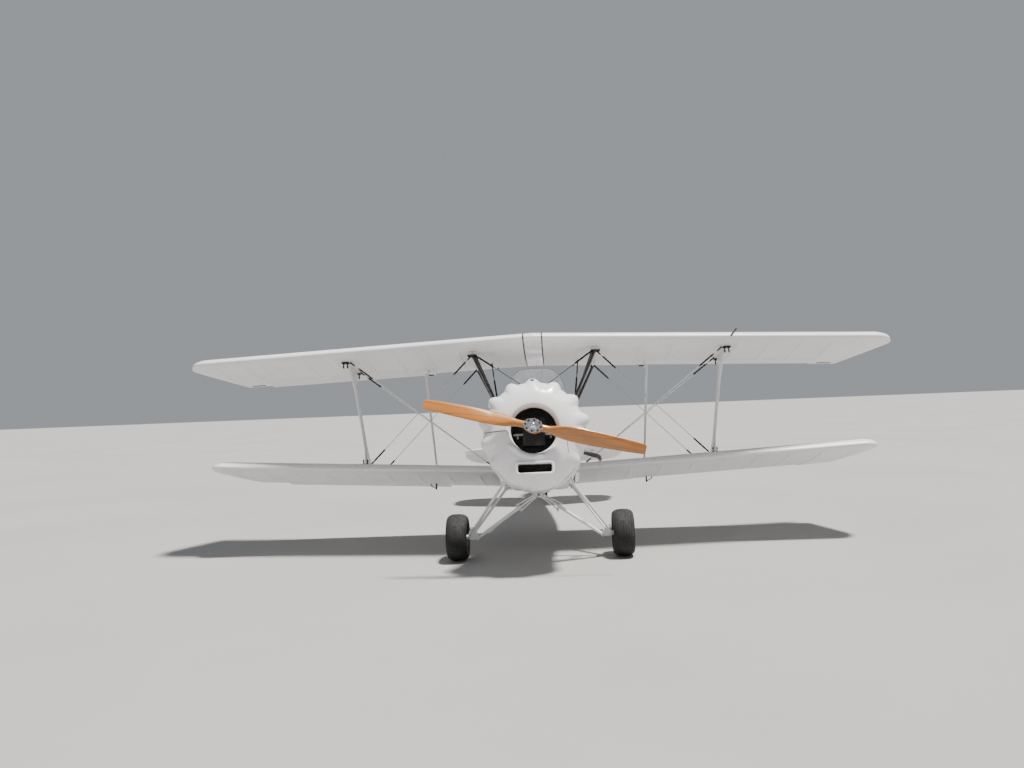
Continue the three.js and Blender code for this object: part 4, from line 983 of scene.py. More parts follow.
def tyre_profile(radius, half, bead, grooves, groove_depth):
    """Closed section: bead, bulged wall, round shoulder, ribbed tread and back."""
    wall = radius - bead
    side = [(bead, 0.62), (bead + wall * 0.35, 0.96), (bead + wall * 0.68, 1.0), (radius * 0.90, 0.885)]
    left = [(r, -half * s) for r, s in catmull(side, 6)]
    tread = []
    span = 0.865 * half
    for i in range(grooves):
        middle = -span + 2 * span * (i + 0.5) / grooves
        rib = span / grooves
        for at, deep in ((-1, 1), (-0.72, 1), (-0.62, 0), (0, 0), (0.62, 0), (0.72, 1)):
            s = middle + rib * at
            crown = radius * float(pchip((0, 0.40, 0.70, 0.90), (1.0, 0.99, 0.955, 0.895), abs(s) / half))
            tread.append((crown - groove_depth * deep, s))
    right = [(r, half * s) for r, s in catmull(side, 4)[::-1]]
    return left + tread + right


def wheel_profile(radius, half, bore):
    """Closed section of a turned rim, the same on both sides."""
    side = [(bore, 0.8), (bore + 0.014, 0.8), (bore + 0.018, 0.42), (radius * 0.68, 0.30),
            (radius * 0.76, 0.52), (radius * 0.90, 0.70), (radius * 0.99, 0.80), (radius, 0.7),
            (radius * 0.97, 0.5)]
    return [(r, -half * s) for r, s in side] + [(r, half * s) for r, s in side[::-1]]


def make_main_wheel(side, sign):
    body = f"wheel_{side}"
    place = Matrix.Translation(LEVEL @ Vector((sign * WHEEL_X, 0, 0)))
    profile = tyre_profile(WHEEL_RADIUS, WHEEL_HALF, RIM_RADIUS, 7, 0.004)
    tyre = Build().lathe(profile, (0, 0, 0), (1, 0, 0), 96)
    outward(tyre.object(f"tyre_tread_{side}", TYRE_RUBBER, "tyre_rubber", body, [f"tyre_{side}"],
                        origin=place, smooth=30))
    rim = Build().lathe(wheel_profile(RIM_RADIUS, 0.065, 0.0165), (0, 0, 0), (1, 0, 0), 64)
    for a in circle(6):
        for face in (-1, 1):
            at = Vector((face * 0.021, 0.048 * math.cos(a), 0.048 * math.sin(a)))
            rim.disc(at, (face, 0, 0), 0.007, 0.006, 6)
    rim.tube([(sign * 0.040, 0.055, 0.055), (sign * 0.070, 0.050, 0.050)], 0.004, 10, 1)
    outward(rim.object(f"wheel_rim_face_{side}", [RIM_METAL, BLACK_PAINT], "rim_metal", body,
                       [f"wheel_rim_{side}"], origin=place, smooth=30))


for side, sign in SIDES:
    make_main_wheel(side, sign)


# Fuselage

SKIN = 0.025
STERN_Y = 3.800
# Sections: station, half width, bottom, top of the deck
SECTIONS = (
    (-0.430, 0.345, 0.385, 1.184), (0.100, 0.335, 0.392, 1.230), (0.700, 0.322, 0.436, 1.255),
    (1.250, 0.300, 0.478, 1.282), (1.760, 0.266, 0.528, 1.288), (2.400, 0.205, 0.616, 1.206),
    (3.020, 0.140, 0.742, 1.139), (3.500, 0.084, 0.846, 1.136), (3.800, 0.046, 0.908, 1.134),
)
FIREWALL_Y = SECTIONS[0][0]
TURTLEDECK_Y = 1.760
# Front edge, rear edge, half width
COCKPITS = {"front": (0.230, 0.770, 0.205), "rear": (1.130, 1.690, 0.215)}
COCKPIT_CORNER = 0.110
SIDE_POSTS = 0.44
FORMERS = 0.34
LONGERON_Z = 0.965
LONGERON_SLOPE = 0.0267
BELLY_CORNER = 0.09
NOSE_CORNER = 0.24
NOSE_CORNER_END = 0.970


def section_at(y):
    """Half width, bottom and top of the deck at a station."""
    stations, *columns = zip(*SECTIONS)
    return [float(np.interp(y, stations, column)) for column in columns]


def longeron_z(y):
    return LONGERON_Z + LONGERON_SLOPE * (y - FIREWALL_Y)


def belly_corner(y):
    """Radius of the fuselage's lower corners, wide under the nose."""
    nose = max(0.0, (NOSE_CORNER_END - y) / (NOSE_CORNER_END - FIREWALL_Y))
    return BELLY_CORNER + (NOSE_CORNER - BELLY_CORNER) * nose


def deck_z(x, y):
    half, _, top = section_at(y)
    side = longeron_z(y)
    return side + (top - side) * math.sqrt(max(0.0, 1 - (x / half) ** 2))


def pillow(y, spacing, share):
    """Fabric drawn in between frames along the fuselage and between two lengthwise members."""
    return math.sin(math.pi * ((y - FIREWALL_Y) / spacing % 1)) ** 2 * (1 - (2 * share - 1) ** 2)


def belly_path(y, inset, soft=0.0):
    """Section from the left longeron down, under and up to the right one."""
    half, bottom, _ = section_at(y)
    w, low = half - inset, bottom + inset
    corner = min(belly_corner(y), w * 0.7)
    left = []
    for share in np.linspace(0, 1, 13):
        left.append((w - soft * pillow(y, SIDE_POSTS, share),
                     longeron_z(y) * (1 - share) + (low + corner) * share))
    for a in np.linspace(0, math.pi / 2, 7)[1:]:
        left.append((w - corner + corner * math.cos(a), low + corner - corner * math.sin(a)))
    for share in np.linspace(0, 1, 6)[1:]:
        left.append(((w - corner) * (1 - share), low + soft * pillow(y, SIDE_POSTS, 0.5 + share / 2)))
    return [(x, y, z) for x, z in left] + [(-x, y, z) for x, z in left[-2::-1]]


def deck_path(y, inset, stringers=0, soft=0.0):
    """Section from the left longeron over the top; stringers give it flat facets."""
    half, _, top = section_at(y)
    side = longeron_z(y) + 0.0004
    w, rise = half - inset, top - inset - side
    count = 6 * stringers if stringers else 36
    ripple = 0.5 + 0.5 * math.sin(math.pi * ((y - TURTLEDECK_Y) / FORMERS % 1)) ** 2
    points = []
    for i in range(count + 1):
        a = math.pi * i / count
        x, z = w * math.cos(a), side + rise * math.sin(a)
        if stringers:
            step = math.pi / stringers
            low = min(stringers - 1, int(i / 6))
            t = i / 6 - low
            a, b = low * step, (low + 1) * step
            dip = 1 - soft * 4 * t * (1 - t) * ripple
            x = w * ((1 - t) * math.cos(a) + t * math.cos(b)) * dip
            z = side + rise * ((1 - t) * math.sin(a) + t * math.sin(b)) * dip
        points.append((x, y, z))
    return points


def shell(path, stations):
    """A wall whose section is a path and the same path drawn in by the skin's thickness."""
    return Build().loft([path(y, 0.0) + path(y, SKIN)[::-1] for y in stations])


def cockpit_outline(place, grow=0.0, per_corner=9):
    """Points round a cockpit opening, seen from above."""
    start, end, half = COCKPITS[place]
    corner = COCKPIT_CORNER
    points = []
    for quarter, x, y in ((0, 1, end - corner), (1, -1, end - corner), (2, -1, start + corner),
                          (3, 1, start + corner)):
        for t in np.linspace(0, math.pi / 2, per_corner):
            a = quarter * math.pi / 2 + t
            points.append((x * (half - corner) + (corner + grow) * math.cos(a),
                           y + (corner + grow) * math.sin(a)))
    return points


def make_fuselage():
    stations = np.linspace(FIREWALL_Y, STERN_Y, 110)
    lower = shell(lambda y, inset: belly_path(y, inset, 0.006 if inset == 0 else 0), stations)
    wall = [(x, y, z) for x, y, z in belly_path(FIREWALL_Y, 0.001)]
    lower.loft([[(x, y + d, z) for x, y, z in wall] for d in (0.0, 0.02)], 1)
    outward(lower.object("fuselage_lower_skin", [WHITE_FABRIC, DARK_FITTING], "white_fabric",
                         replaces=["fuselage_lower"], smooth=40))
    stations = np.linspace(FIREWALL_Y, TURTLEDECK_Y - 0.0006, 60)
    deck = outward(shell(deck_path, stations).object("deck_forward_skin", WHITE_PAINT, "white_paint",
                                                     replaces=["deck_forward"], smooth=40))
    for place in COCKPITS:
        outline = cockpit_outline(place)
        subtract(deck, Build().loft([[(x, y, z) for x, y in outline] for z in (0.99, 1.6)]))
    stations = np.linspace(TURTLEDECK_Y, STERN_Y, 73)
    turtle = shell(lambda y, inset: deck_path(y, inset, 9, 0.022 if inset == 0 else 0), stations)
    outward(turtle.object("turtledeck_skin", WHITE_FABRIC, "white_fabric", replaces=["turtledeck"],
                          smooth=14))


def make_coamings():
    """Padded leather rolls round the cockpit openings."""
    for place in COCKPITS:
        points = [Vector((x, y, deck_z(x, y) + 0.003)) for x, y in cockpit_outline(place, 0.004, 12)]
        closed = points + points[:1]
        roll = Build()
        rings = []
        for i, point in enumerate(points):
            ahead = (points[(i + 1) % len(points)] - points[i - 1]).normalized()
            out = ahead.cross(Vector((0, 0, 1))).normalized()
            up = out.cross(ahead).normalized()
            swell = 0.0165 + 0.0012 * math.sin(i * math.pi / 2) ** 2
            rings.append([point + (out * math.cos(a) + up * math.sin(a)) * swell
                          for a in circle(14)])
        roll.loft(rings + rings[:1], caps=False)
        lacing = Build()
        made = outward(merged(roll.object(f"cockpit_coaming_{place}", BLACK_LEATHER, "seat_cover")))
        for point, after in zip(points[::2], closed[1::2]):
            ahead = (after - point).normalized()
            out = ahead.cross(Vector((0, 0, 1))).normalized()
            arc = [point + out * (0.0178 * math.cos(a)) + Vector((0, 0, 0.0178 * math.sin(a)))
                   for a in np.linspace(0, math.pi, 9)]
            lacing.tube(arc, 0.0014, 6)
        outward(lacing.object(f"coaming_lacing_{place}", SEAT_COVER, "seat_cover"))


def make_root_fairings():
    """Concave strips between the lower wings and the fuselage sides."""
    build = Build()
    reach = 0.050
    ring = airfoil_ring(0.33, 0, 1, 1, 1, 0, 22)
    rings = []
    for i, (_, y, z) in enumerate(ring):
        before, after = ring[max(0, i - 1)], ring[min(len(ring) - 1, i + 1)]
        along = Vector((0, after[1] - before[1], after[2] - before[2])).normalized()
        normal = Vector((0, along.z, -along.y))
        normal = -normal if (z >= 0) != (normal.z >= 0) and abs(normal.z) > 0.2 else normal
        if normal.y > 0.3:
            normal.y = -normal.y
        half = section_at((LOWER.matrix @ Vector((0, y, z))).y)[0]
        row = []
        for a in np.linspace(0, math.pi / 2, 8):
            out, up = reach * (1 - math.sin(a)), reach * (1 - math.cos(a))
            row.append(LOWER.matrix @ Vector((half + out, y, z)) + normal * (up + 0.0012))
        row.append(LOWER.matrix @ Vector((row[-1].x - 0.004, y, z)))
        rings.append(row)
    build.loft(rings).both_sides()
    outward(build.object("wing_root_fairings", WHITE_PAINT, "white_paint", smooth=50))


make_fuselage()
make_coamings()
make_root_fairings()


# Struts between the wings

STRUT_TOP_X = 1.730
STRUT_FOOT_X = 1.632
CABANE_TOP_X = 0.541
CABANE_FOOT = (0.300, 1.062)
CABANE_PINS = {
    "front": UPPER.point(CABANE_TOP_X, FRONT_SPAR, -0.070),
    "rear": UPPER.point(CABANE_TOP_X, REAR_SPAR, -0.088),
}


def interplane_strut():
    top = between(UPPER.point(STRUT_TOP_X, FRONT_SPAR), UPPER.point(STRUT_TOP_X, REAR_SPAR), 0.5)
    foot = between(LOWER.point(STRUT_FOOT_X, FRONT_SPAR), LOWER.point(STRUT_FOOT_X, REAR_SPAR), 0.5)
    near = np.linspace(0.03, 0.27, 22)
    rings = []
    for share in [*near, *np.linspace(0.30, 0.70, 6), *(1 - near[::-1])]:
        centre = between(foot, top, share)
        flare = max(0.0, 1 - min(share, 1 - share) / 0.25) ** 1.3
        half = 0.046 + (0.232 - 0.046) * flare
        slope = -math.tan((LOWER if share < 0.5 else UPPER).incidence) * flare
        ring = []
        for a in circle(32):
            along = half * math.sin(a)
            across = 0.013 * math.copysign(abs(math.cos(a)) ** (0.55 if flare else 0.8), math.cos(a))
            ring.append((centre.x + across, centre.y + along, centre.z + along * slope))
        rings.append(ring)
    return Build().loft(rings)


def bolt(build, place, axis, radius, mark=0):
    """A hexagonal head on a washer."""
    axis = Vector(axis).normalized()
    build.disc(place, axis, radius * 1.35, radius * 0.22, 16, mark)
    build.disc(Vector(place) + axis * radius * 0.22, axis, radius, radius * 0.8, 6, mark)


def make_interplane_struts():
    build = interplane_strut()
    fittings = Build()
    for wing, x, down in ((UPPER, STRUT_TOP_X, -1), (LOWER, STRUT_FOOT_X, 1)):
        for share in (FRONT_SPAR, REAR_SPAR):
            surface = np.interp(share, [r[0] for r in AIRFOIL],
                                [r[2 if down < 0 else 1] for r in AIRFOIL]) * CHORD
            seat = wing.point(x, share, float(surface))
            fittings.box((seat.x - 0.034, seat.y - 0.028, seat.z + min(0, down * 0.007) - 0.001),
                         (seat.x + 0.034, seat.y + 0.028, seat.z + max(0, down * 0.007) + 0.001))
            for side in (-1, 1):
                low, high = sorted((seat.z, seat.z + down * 0.052))
                fittings.box((seat.x + side * 0.017 - 0.002, seat.y - 0.020, low),
                             (seat.x + side * 0.017 + 0.002, seat.y + 0.020, high))
                bolt(fittings, (seat.x + side * 0.019, seat.y, seat.z + down * 0.036), (side, 0, 0), 0.007)
                bolt(fittings, (seat.x + side * 0.027, seat.y - 0.018, seat.z + down * 0.006), (0, 0, down),
                     0.005)
    for side, sign in SIDES:
        strut = Build().add(build.verts, build.faces).moved(flipped(sign))
        outward(strut.object(f"interplane_strut_skin_{side}", WHITE_TUBE, "white_tube",
                             replaces=[f"interplane_strut_{side}"], smooth=50))
    fittings.both_sides()
    outward(fittings.object("interplane_fittings", DARK_FITTING, "black_paint"))


def make_cabane():
    for side, sign in SIDES:
        struts = Build()
        metal = Build()
        for place, pin in CABANE_PINS.items():
            foot = Vector((CABANE_FOOT[0], pin.y, CABANE_FOOT[1]))
            faired(struts, foot, between(foot, pin, 0.985), 0.056, 0.030, 28)
            surface = UPPER.point(CABANE_TOP_X, FRONT_SPAR if place == "front" else REAR_SPAR, -0.040)
            for shift in (-0.0115, 0.0115):
                struts.box((pin.x + shift - 0.003, pin.y - 0.027, pin.z + 0.010),
                           (pin.x + shift + 0.003, pin.y + 0.027, surface.z + 0.003), 1, bevel=0.001)
                struts.box((pin.x + shift - 0.003, pin.y - 0.024, pin.z - 0.014),
                           (pin.x + shift + 0.003, pin.y + 0.024, pin.z + 0.011), bevel=0.001)
                bolt(metal, (pin.x + shift + math.copysign(0.003, shift), pin.y, pin.z), (shift, 0, 0),
                     0.0085)
            struts.box((pin.x - 0.030, pin.y - 0.036, surface.z - 0.006),
                       (pin.x + 0.030, pin.y + 0.036, surface.z), 1)
            for dx, dy in ((-0.021, -0.026), (0.021, -0.026), (-0.021, 0.026), (0.021, 0.026)):
                bolt(struts, (pin.x + dx, pin.y + dy, surface.z - 0.006), (0, 0, -1), 0.0048, 1)
            up = (pin - foot).normalized()
            struts.tube([foot - up * 0.015, foot + up * 0.030], 0.024, 20)
            bolt(metal, foot + up * 0.020 + Vector((0.022, 0, 0)), (1, 0, 0), 0.007)
        front, rear = CABANE_PINS["front"], CABANE_PINS["rear"]
        foot = Vector((CABANE_FOOT[0], rear.y, CABANE_FOOT[1]))
        brace = [between(foot, rear, 0.06), front + Vector((-0.024, 0, -0.006))]
        struts.tube(brace, 0.012, 16)
        struts.tube([brace[0], between(*brace, 0.05)], 0.0155, 16)
        struts.tube([between(*brace, 0.95), brace[1]], 0.0155, 16)
        struts.box((front.x - 0.036, front.y - 0.024, front.z - 0.004),
                   (front.x + 0.048, front.y + 0.024, front.z + 0.009))
        for x in (-0.027, 0.037):
            bolt(metal, (front.x + x, front.y, front.z - 0.004), (0, 0, -1), 0.006)
            bolt(metal, (front.x + x, front.y - 0.024, front.z + 0.0025), (0, -1, 0), 0.004)
        struts.moved(flipped(sign))
        metal.moved(flipped(sign))
        outward(struts.object(f"cabane_tubes_{side}", [BLACK_PAINT, WHITE_TUBE], "black_paint",
                              replaces=[f"cabane_strut_{side}"]))
        outward(metal.object(f"cabane_bolts_{side}", DARK_FITTING, "black_paint"))


make_interplane_struts()
make_cabane()


# Bracing wires

WIRE_RADIUS = 0.0029
TURNBUCKLE = 0.170


def turnbuckle(build, start, end):
    """Barrel with a waist at each end, its threaded ends and locking wire."""
    start, end = Vector(start), Vector(end)
    axis = (end - start).normalized()
    length = (end - start).length
    rows = ((0.0, 0.0045), (0.06, 0.0045), (0.07, 0.0072), (0.16, 0.0085), (0.30, 0.0072), (0.50, 0.0085),
            (0.70, 0.0072), (0.84, 0.0085), (0.93, 0.0072), (0.94, 0.0045), (1.0, 0.0045))
    build.tube([start + axis * length * s for s, _ in rows], [r for _, r in rows], 16, 1)
    steps = 60
    across = axis.orthogonal().normalized()
    other = axis.cross(across)
    turns = [2 * math.pi * 5 * i / steps for i in range(steps + 1)]
    build.tube([start + axis * length * (0.08 + 0.84 * i / steps)
                + (across * math.cos(a) + other * math.sin(a)) * 0.0088
                for i, a in enumerate(turns)], 0.0007, 4, 0)


def wire(build, start, end, starts, radius=WIRE_RADIUS):
    """A wire with turnbuckles that begin at the given shares of its length, and forks at both ends."""
    start, end = Vector(start), Vector(end)
    length = (end - start).length
    axis = (end - start).normalized()
    build.tube([start, end], radius, 10, 0)
    for share in starts:
        a = start + axis * length * share
        turnbuckle(build, a, a + axis * TURNBUCKLE)
    for place, way in ((start, axis), (end, -axis)):
        build.tube([place, place + way * 0.045, place + way * 0.052], [0.0068, 0.0068, 0.0045], 12, 1)
        bolt(build, place + way * 0.008 + Vector((0, -0.0068, 0)), (0, -1, 0), 0.0055, 1)


FLYING_ROOT = Vector((0.445, 0.500, 0.668))


def make_wires():
    flying = [UPPER.point(STRUT_TOP_X - 0.045, FRONT_SPAR, -0.040),
              UPPER.point(STRUT_TOP_X - 0.045, REAR_SPAR - 0.06, -0.032)]
    for side, sign in SIDES:
        build = Build()
        for top in flying:
            wire(build, top, FLYING_ROOT, [0.055], 0.0042)
        lug = FLYING_ROOT
        build.box((lug.x - 0.003, lug.y - 0.016, lug.z - 0.040),
                  (lug.x + 0.003, lug.y + 0.016, lug.z + 0.012), 1)
        build.box((lug.x - 0.026, lug.y - 0.030, lug.z - 0.034),
                  (lug.x + 0.026, lug.y + 0.030, lug.z - 0.029), 1)
        bolt(build, (lug.x + 0.003, lug.y, lug.z), (1, 0, 0), 0.007, 1)
        build.moved(flipped(sign))
        outward(build.object(f"flying_wires_strung_{side}", [PALE_WIRE, DARK_FITTING], "steel_wire",
                             replaces=[f"flying_wires_{side}"]))
        for place, spar, rise, first in (("front", FRONT_SPAR, 0.074, 0.05),
                                         ("rear", REAR_SPAR, 0.045, 0.012)):
            build = Build()
            foot = LOWER.point(STRUT_FOOT_X - 0.062, spar, rise + 0.014)
            wire(build, CABANE_PINS[place] + Vector((0.016, 0, 0)), foot, [first, 0.86])
            build.box((foot.x - 0.003, foot.y - 0.016, foot.z - 0.030),
                      (foot.x + 0.003, foot.y + 0.016, foot.z + 0.010), 1)
            build.box((foot.x - 0.022, foot.y - 0.026, foot.z - 0.022),
                      (foot.x + 0.022, foot.y + 0.026, foot.z - 0.016), 1)
            build.moved(flipped(sign))
            outward(build.object(f"landing_wire_strung_{place}_{side}", [STEEL_WIRE, DARK_FITTING],
                                 "steel_wire", replaces=[f"landing_wire_{place}_{side}"]))
    pin = CABANE_PINS["front"]
    y = pin.y - 0.014
    eye = Vector((0, y, section_at(y)[2] + 0.006))
    cross = Build()
    for sign in (1, -1):
        wire(cross, (sign * (pin.x - 0.028), y, pin.z - 0.002), eye, [0.04])
    cross.lathe([(0.006, -0.006), (0.015, -0.006), (0.015, 0.006), (0.006, 0.006)], eye, (0, 1, 0), 24, 1)
    cross.box((-0.026, y - 0.020, eye.z - 0.012), (0.026, y + 0.020, eye.z - 0.006), 1)
    outward(cross.object("cabane_cross_wires_strung", [DARK_FITTING, DARK_FITTING], "steel_wire",
                         replaces=["cabane_cross_wires"]))


def make_cabane_rods():
    """Upright rods with turnbuckles between the deck and the upper wing, behind the front cabane struts."""
    build = Build()
    top, knee = Vector((0.400, 0.290, 1.600)), Vector((0.388, 0.316, 1.472))
    foot = Vector((0.332, 0.400, 1.010))
    build.tube([top, knee], 0.0065, 12, 0)
    build.tube([knee, foot], 0.0040, 10, 0)
    start, way = between(knee, foot, 0.05), (foot - knee).normalized()
    turnbuckle(build, start, start + way * TURNBUCKLE)
    build.both_sides()
    outward(build.object("cabane_rods", [BLACK_PAINT, DARK_FITTING], "black_paint"))


make_wires()
make_cabane_rods()


# Landing gear

GEAR_LEGS = (((0.598, -0.030, 0.020), (0.240, -0.402, 0.468)), ((0.583, 0.030, 0.020), (0.261, 0.382, 0.490)))
SHOCK_FOOT = Vector((0.540, 0, -0.014))
SHOCK_TOP = Vector((0.014, 0, 0.345))
GUSSET = ((0.530, -0.026), (0.612, -0.026), (0.612, 0.030), (0.600, 0.084), (0.572, 0.084), (0.530, 0.008))


def make_gear_legs():
    for side, sign in SIDES:
        legs = Build()
        metal = Build()
        for foot, top in GEAR_LEGS:
            faired(legs, foot, between(foot, top, 0.965), 0.050, 0.030, 28)
            legs.tube([between(foot, top, 0.865), between(foot, top, 0.925)], 0.019, 20)
            bolt(metal, between(foot, top, 0.895) + Vector((0.018, 0, 0)), (1, 0, 0), 0.0075)
        for y in (-0.032, 0.027):
            rings = []
            for at, inset in ((y, 0.0008), (y + 0.0008, 0), (y + 0.0042, 0), (y + 0.005, 0.0008)):
                cx, cz = 0.571, 0.02
                rings.append([(x + (cx - x) * inset * 20, at, z + (cz - z) * inset * 20) for x, z in GUSSET])
            legs.loft(rings)
        legs.tube([(0.560, 0, 0), (0.640, 0, 0)], 0.019, 28)
        legs.box((0.560, -0.026, -0.020), (0.600, 0.026, 0.020))
        metal.tube([(0.640, 0, 0), (0.789, 0, 0)], 0.0148, 28)
        metal.disc((0.779, 0, 0), (1, 0, 0), 0.026, 0.006, 32)
        metal.disc((0.785, 0, 0), (1, 0, 0), 0.020, 0.014, 6)
        metal.tube([(0.792, 0.020, 0.001), (0.792, -0.020, -0.001)], 0.002, 8)
        for x, z in ((0.598, 0.062), (0.580, 0.062), (0.600, -0.014)):
            for y, way in ((-0.032, -1), (0.032, 1)):
                bolt(metal, (x, y, z), (0, way, 0), 0.0055)
        for y, way in ((-0.036, -1), (0.036, 1)):
            bolt(metal, (SHOCK_FOOT.x, y, SHOCK_FOOT.z), (0, way, 0), 0.0095)
        metal.tube([SHOCK_FOOT + Vector((0, -0.037, 0)), SHOCK_FOOT + Vector((0, 0.037, 0))], 0.008, 16)
        legs.moved(flipped(sign))
        metal.moved(flipped(sign))
        outward(legs.object(f"gear_leg_tubes_{side}", WHITE_TUBE, "white_tube",
                            replaces=[f"gear_leg_{side}"]))
        outward(metal.object(f"gear_leg_bolts_{side}", POLISHED_METAL, "polished_metal"))


def make_shock_struts():
    axis = (SHOCK_TOP - SHOCK_FOOT).normalized()
    lift = Vector((axis.z, 0, -axis.x))

    def beside(share, by):
        return between(SHOCK_FOOT, SHOCK_TOP, share) + lift * by

    for side, sign in SIDES:
        tube, rods = Build(), Build()
        tube.tube([beside(0.02, 0), beside(0.05, 0), beside(0.70, 0)], [0.010, 0.014, 0.014], 24)
        tube.tube([beside(0.655, 0), beside(0.70, 0)], 0.0175, 24)
        rods.tube([SHOCK_FOOT + Vector((0, -0.016, 0)), SHOCK_FOOT + Vector((0, 0.016, 0))], 0.017, 24)
        rods.tube([beside(0.68, 0), SHOCK_TOP], 0.0085, 16)
        rods.tube([beside(0.70, -0.040), beside(0.70, 0.040)], 0.0085, 16)
        rods.tube([beside(0.95, -0.022), beside(0.95, 0.022)], 0.0075, 16)
        for by in (-1, 1):
            rods.tube([beside(0.70, 0.030 * by), beside(0.95, 0.013 * by)], 0.0055, 14)
            bolt(rods, beside(0.70, 0.034 * by) - axis * 0.008, -axis, 0.009, 1)
            bolt(rods, beside(0.95, 0.016 * by) + axis * 0.006, axis, 0.007, 1)
        for build in (tube, rods):
            build.moved(flipped(sign))
        outward(tube.object(f"shock_strut_tube_{side}", WHITE_TUBE, "white_tube",
                            replaces=[f"shock_strut_{side}"]))
        outward(rods.object(f"shock_strut_rods_{side}", [WHITE_TUBE, RIM_METAL], "white_tube"))


def make_centre_frame():
    foot = Vector((0, 0, 0.338))
    tubes, metal = Build(), Build()
    for x, y in ((-0.170, -0.150), (0.170, -0.150), (-0.170, 0.150), (0.170, 0.150)):
        top = Vector((x, y, section_at(y)[1] + 0.003))
        reach = (Vector((x, y, 0.430)) - foot).normalized()
        top = foot + reach * (top.z - foot.z) / reach.z
        tubes.tube([foot, top], 0.011, 20)
        tubes.disc(top - Vector((0, 0, 0.002)), (0, 0, -1), 0.024, 0.004, 20)
    tubes.tube([foot + Vector((0, -0.034, 0)), foot + Vector((0, 0.034, 0))], 0.020, 28)
    for y, way in ((-0.034, -1), (0.034, 1)):
        bolt(metal, (0, y, 0.338), (0, way, 0), 0.010)
    outward(tubes.object("gear_centre_tubes", WHITE_TUBE, "white_tube", replaces=["gear_centre_frame"]))
    outward(metal.object("gear_centre_bolts", POLISHED_METAL, "polished_metal"))


make_gear_legs()
make_shock_struts()
make_centre_frame()


# Tail surfaces

TAIL_HINGE_Y = 3.700
TAIL_Z = 1.163
TAIL_HALF_SPAN = 1.034
TAIL_THICKNESS = 0.040
TAIL_SAG = 0.004
ELEVATOR_THICKNESS = 0.026
ELEVATOR_DROOP = math.radians(-12)
RUDDER_HINGE_Y = 3.832
FIN_REAR_Y = 3.806
TAILPLANE_EDGE = ((0.200, 3.050), (0.760, 3.235), (0.930, 3.330), (1.010, 3.460), (1.034, 3.682))
ELEVATOR_EDGE = ((1.034, 0.0), (1.036, 0.090), (0.985, 0.235), (0.860, 0.352), (0.600, 0.392), (0.330, 0.380),
                 (0.190, 0.300), (0.120, 0.160), (0.070, 0.0))
FIN_EDGE = ((3.180, 1.186), (3.340, 1.330), (3.500, 1.520), (3.600, 1.630), (3.700, 1.684), (3.806, 1.700))
RUDDER_EDGE = ((0.0, 0.930), (0.110, 0.905), (0.330, 0.960), (0.520, 1.110), (0.610, 1.300), (0.600, 1.520),
               (0.520, 1.700), (0.370, 1.800), (0.180, 1.830), (0.0, 1.812))


def frame_surface(outline, ribs, along):
    """A flat mesh that fills an outline, cut finely enough for fabric that is drawn in between ribs.

    The outline is a closed list of points (u, v). Ribs are values of u, or of v where along is 1.
    """
    edit = bmesh.new()
    face = edit.faces.new([edit.verts.new((u, v, 0)) for u, v in outline])
    face.normal_update()
    bmesh.ops.triangulate(edit, faces=[face])
    cuts = sorted({*np.arange(-1.2, 4.4, 0.03).round(4),
                   *(r + s for r in ribs for s in (-TAPE_HALF, 0, TAPE_HALF))})
    for axis in (0, 1):
        low, high = min(p[axis] for p in outline), max(p[axis] for p in outline)
        way = Vector((1 - axis, axis, 0))
        for value in cuts if axis == along else np.arange(-1.2, 4.4, 0.05):
            if low + 0.002 < value < high - 0.002:
                bmesh.ops.bisect_plane(edit, geom=edit.verts[:] + edit.edges[:] + edit.faces[:],
                                       plane_co=way * float(value), plane_no=way)
    edit.verts.ensure_lookup_table()
    edit.faces.ensure_lookup_table()
    points = [Vector(v.co) for v in edit.verts]
    faces = [[v.index for v in f.verts] for f in edit.faces]
    edit.free()
    return points, faces


def plate_heights(points, outline, thickness, round_off, ribs, along):
    """Half thickness at each point of a frame surface."""
    a = np.array(outline)
    b = np.roll(a, -1, axis=0)
    d = b - a
    heights = []
    for p in points:
        q = np.array((p.x, p.y))
        t = np.clip(((q - a) * d).sum(1) / np.maximum((d * d).sum(1), 1e-12), 0, 1)
        away = np.sqrt((((a + d * t[:, None]) - q) ** 2).sum(1)).min()
        share = min(1.0, away / round_off)
        crown = math.sqrt(1 - (1 - share) ** 2)
        value = q[along]
        nearest = min((abs(value - r) for r in ribs), default=1)
        inside = min(1.0, max(0.0, (away - round_off) / 0.06))
        drop = TAIL_SAG * inside * min(1.0, max(0.0, nearest - TAPE_HALF) / 0.05)
        tape = TAPE_RISE if nearest <= TAPE_HALF + 1e-5 and inside > 0 else 0.0
        heights.append(thickness / 2 * crown - drop + tape)
    return heights


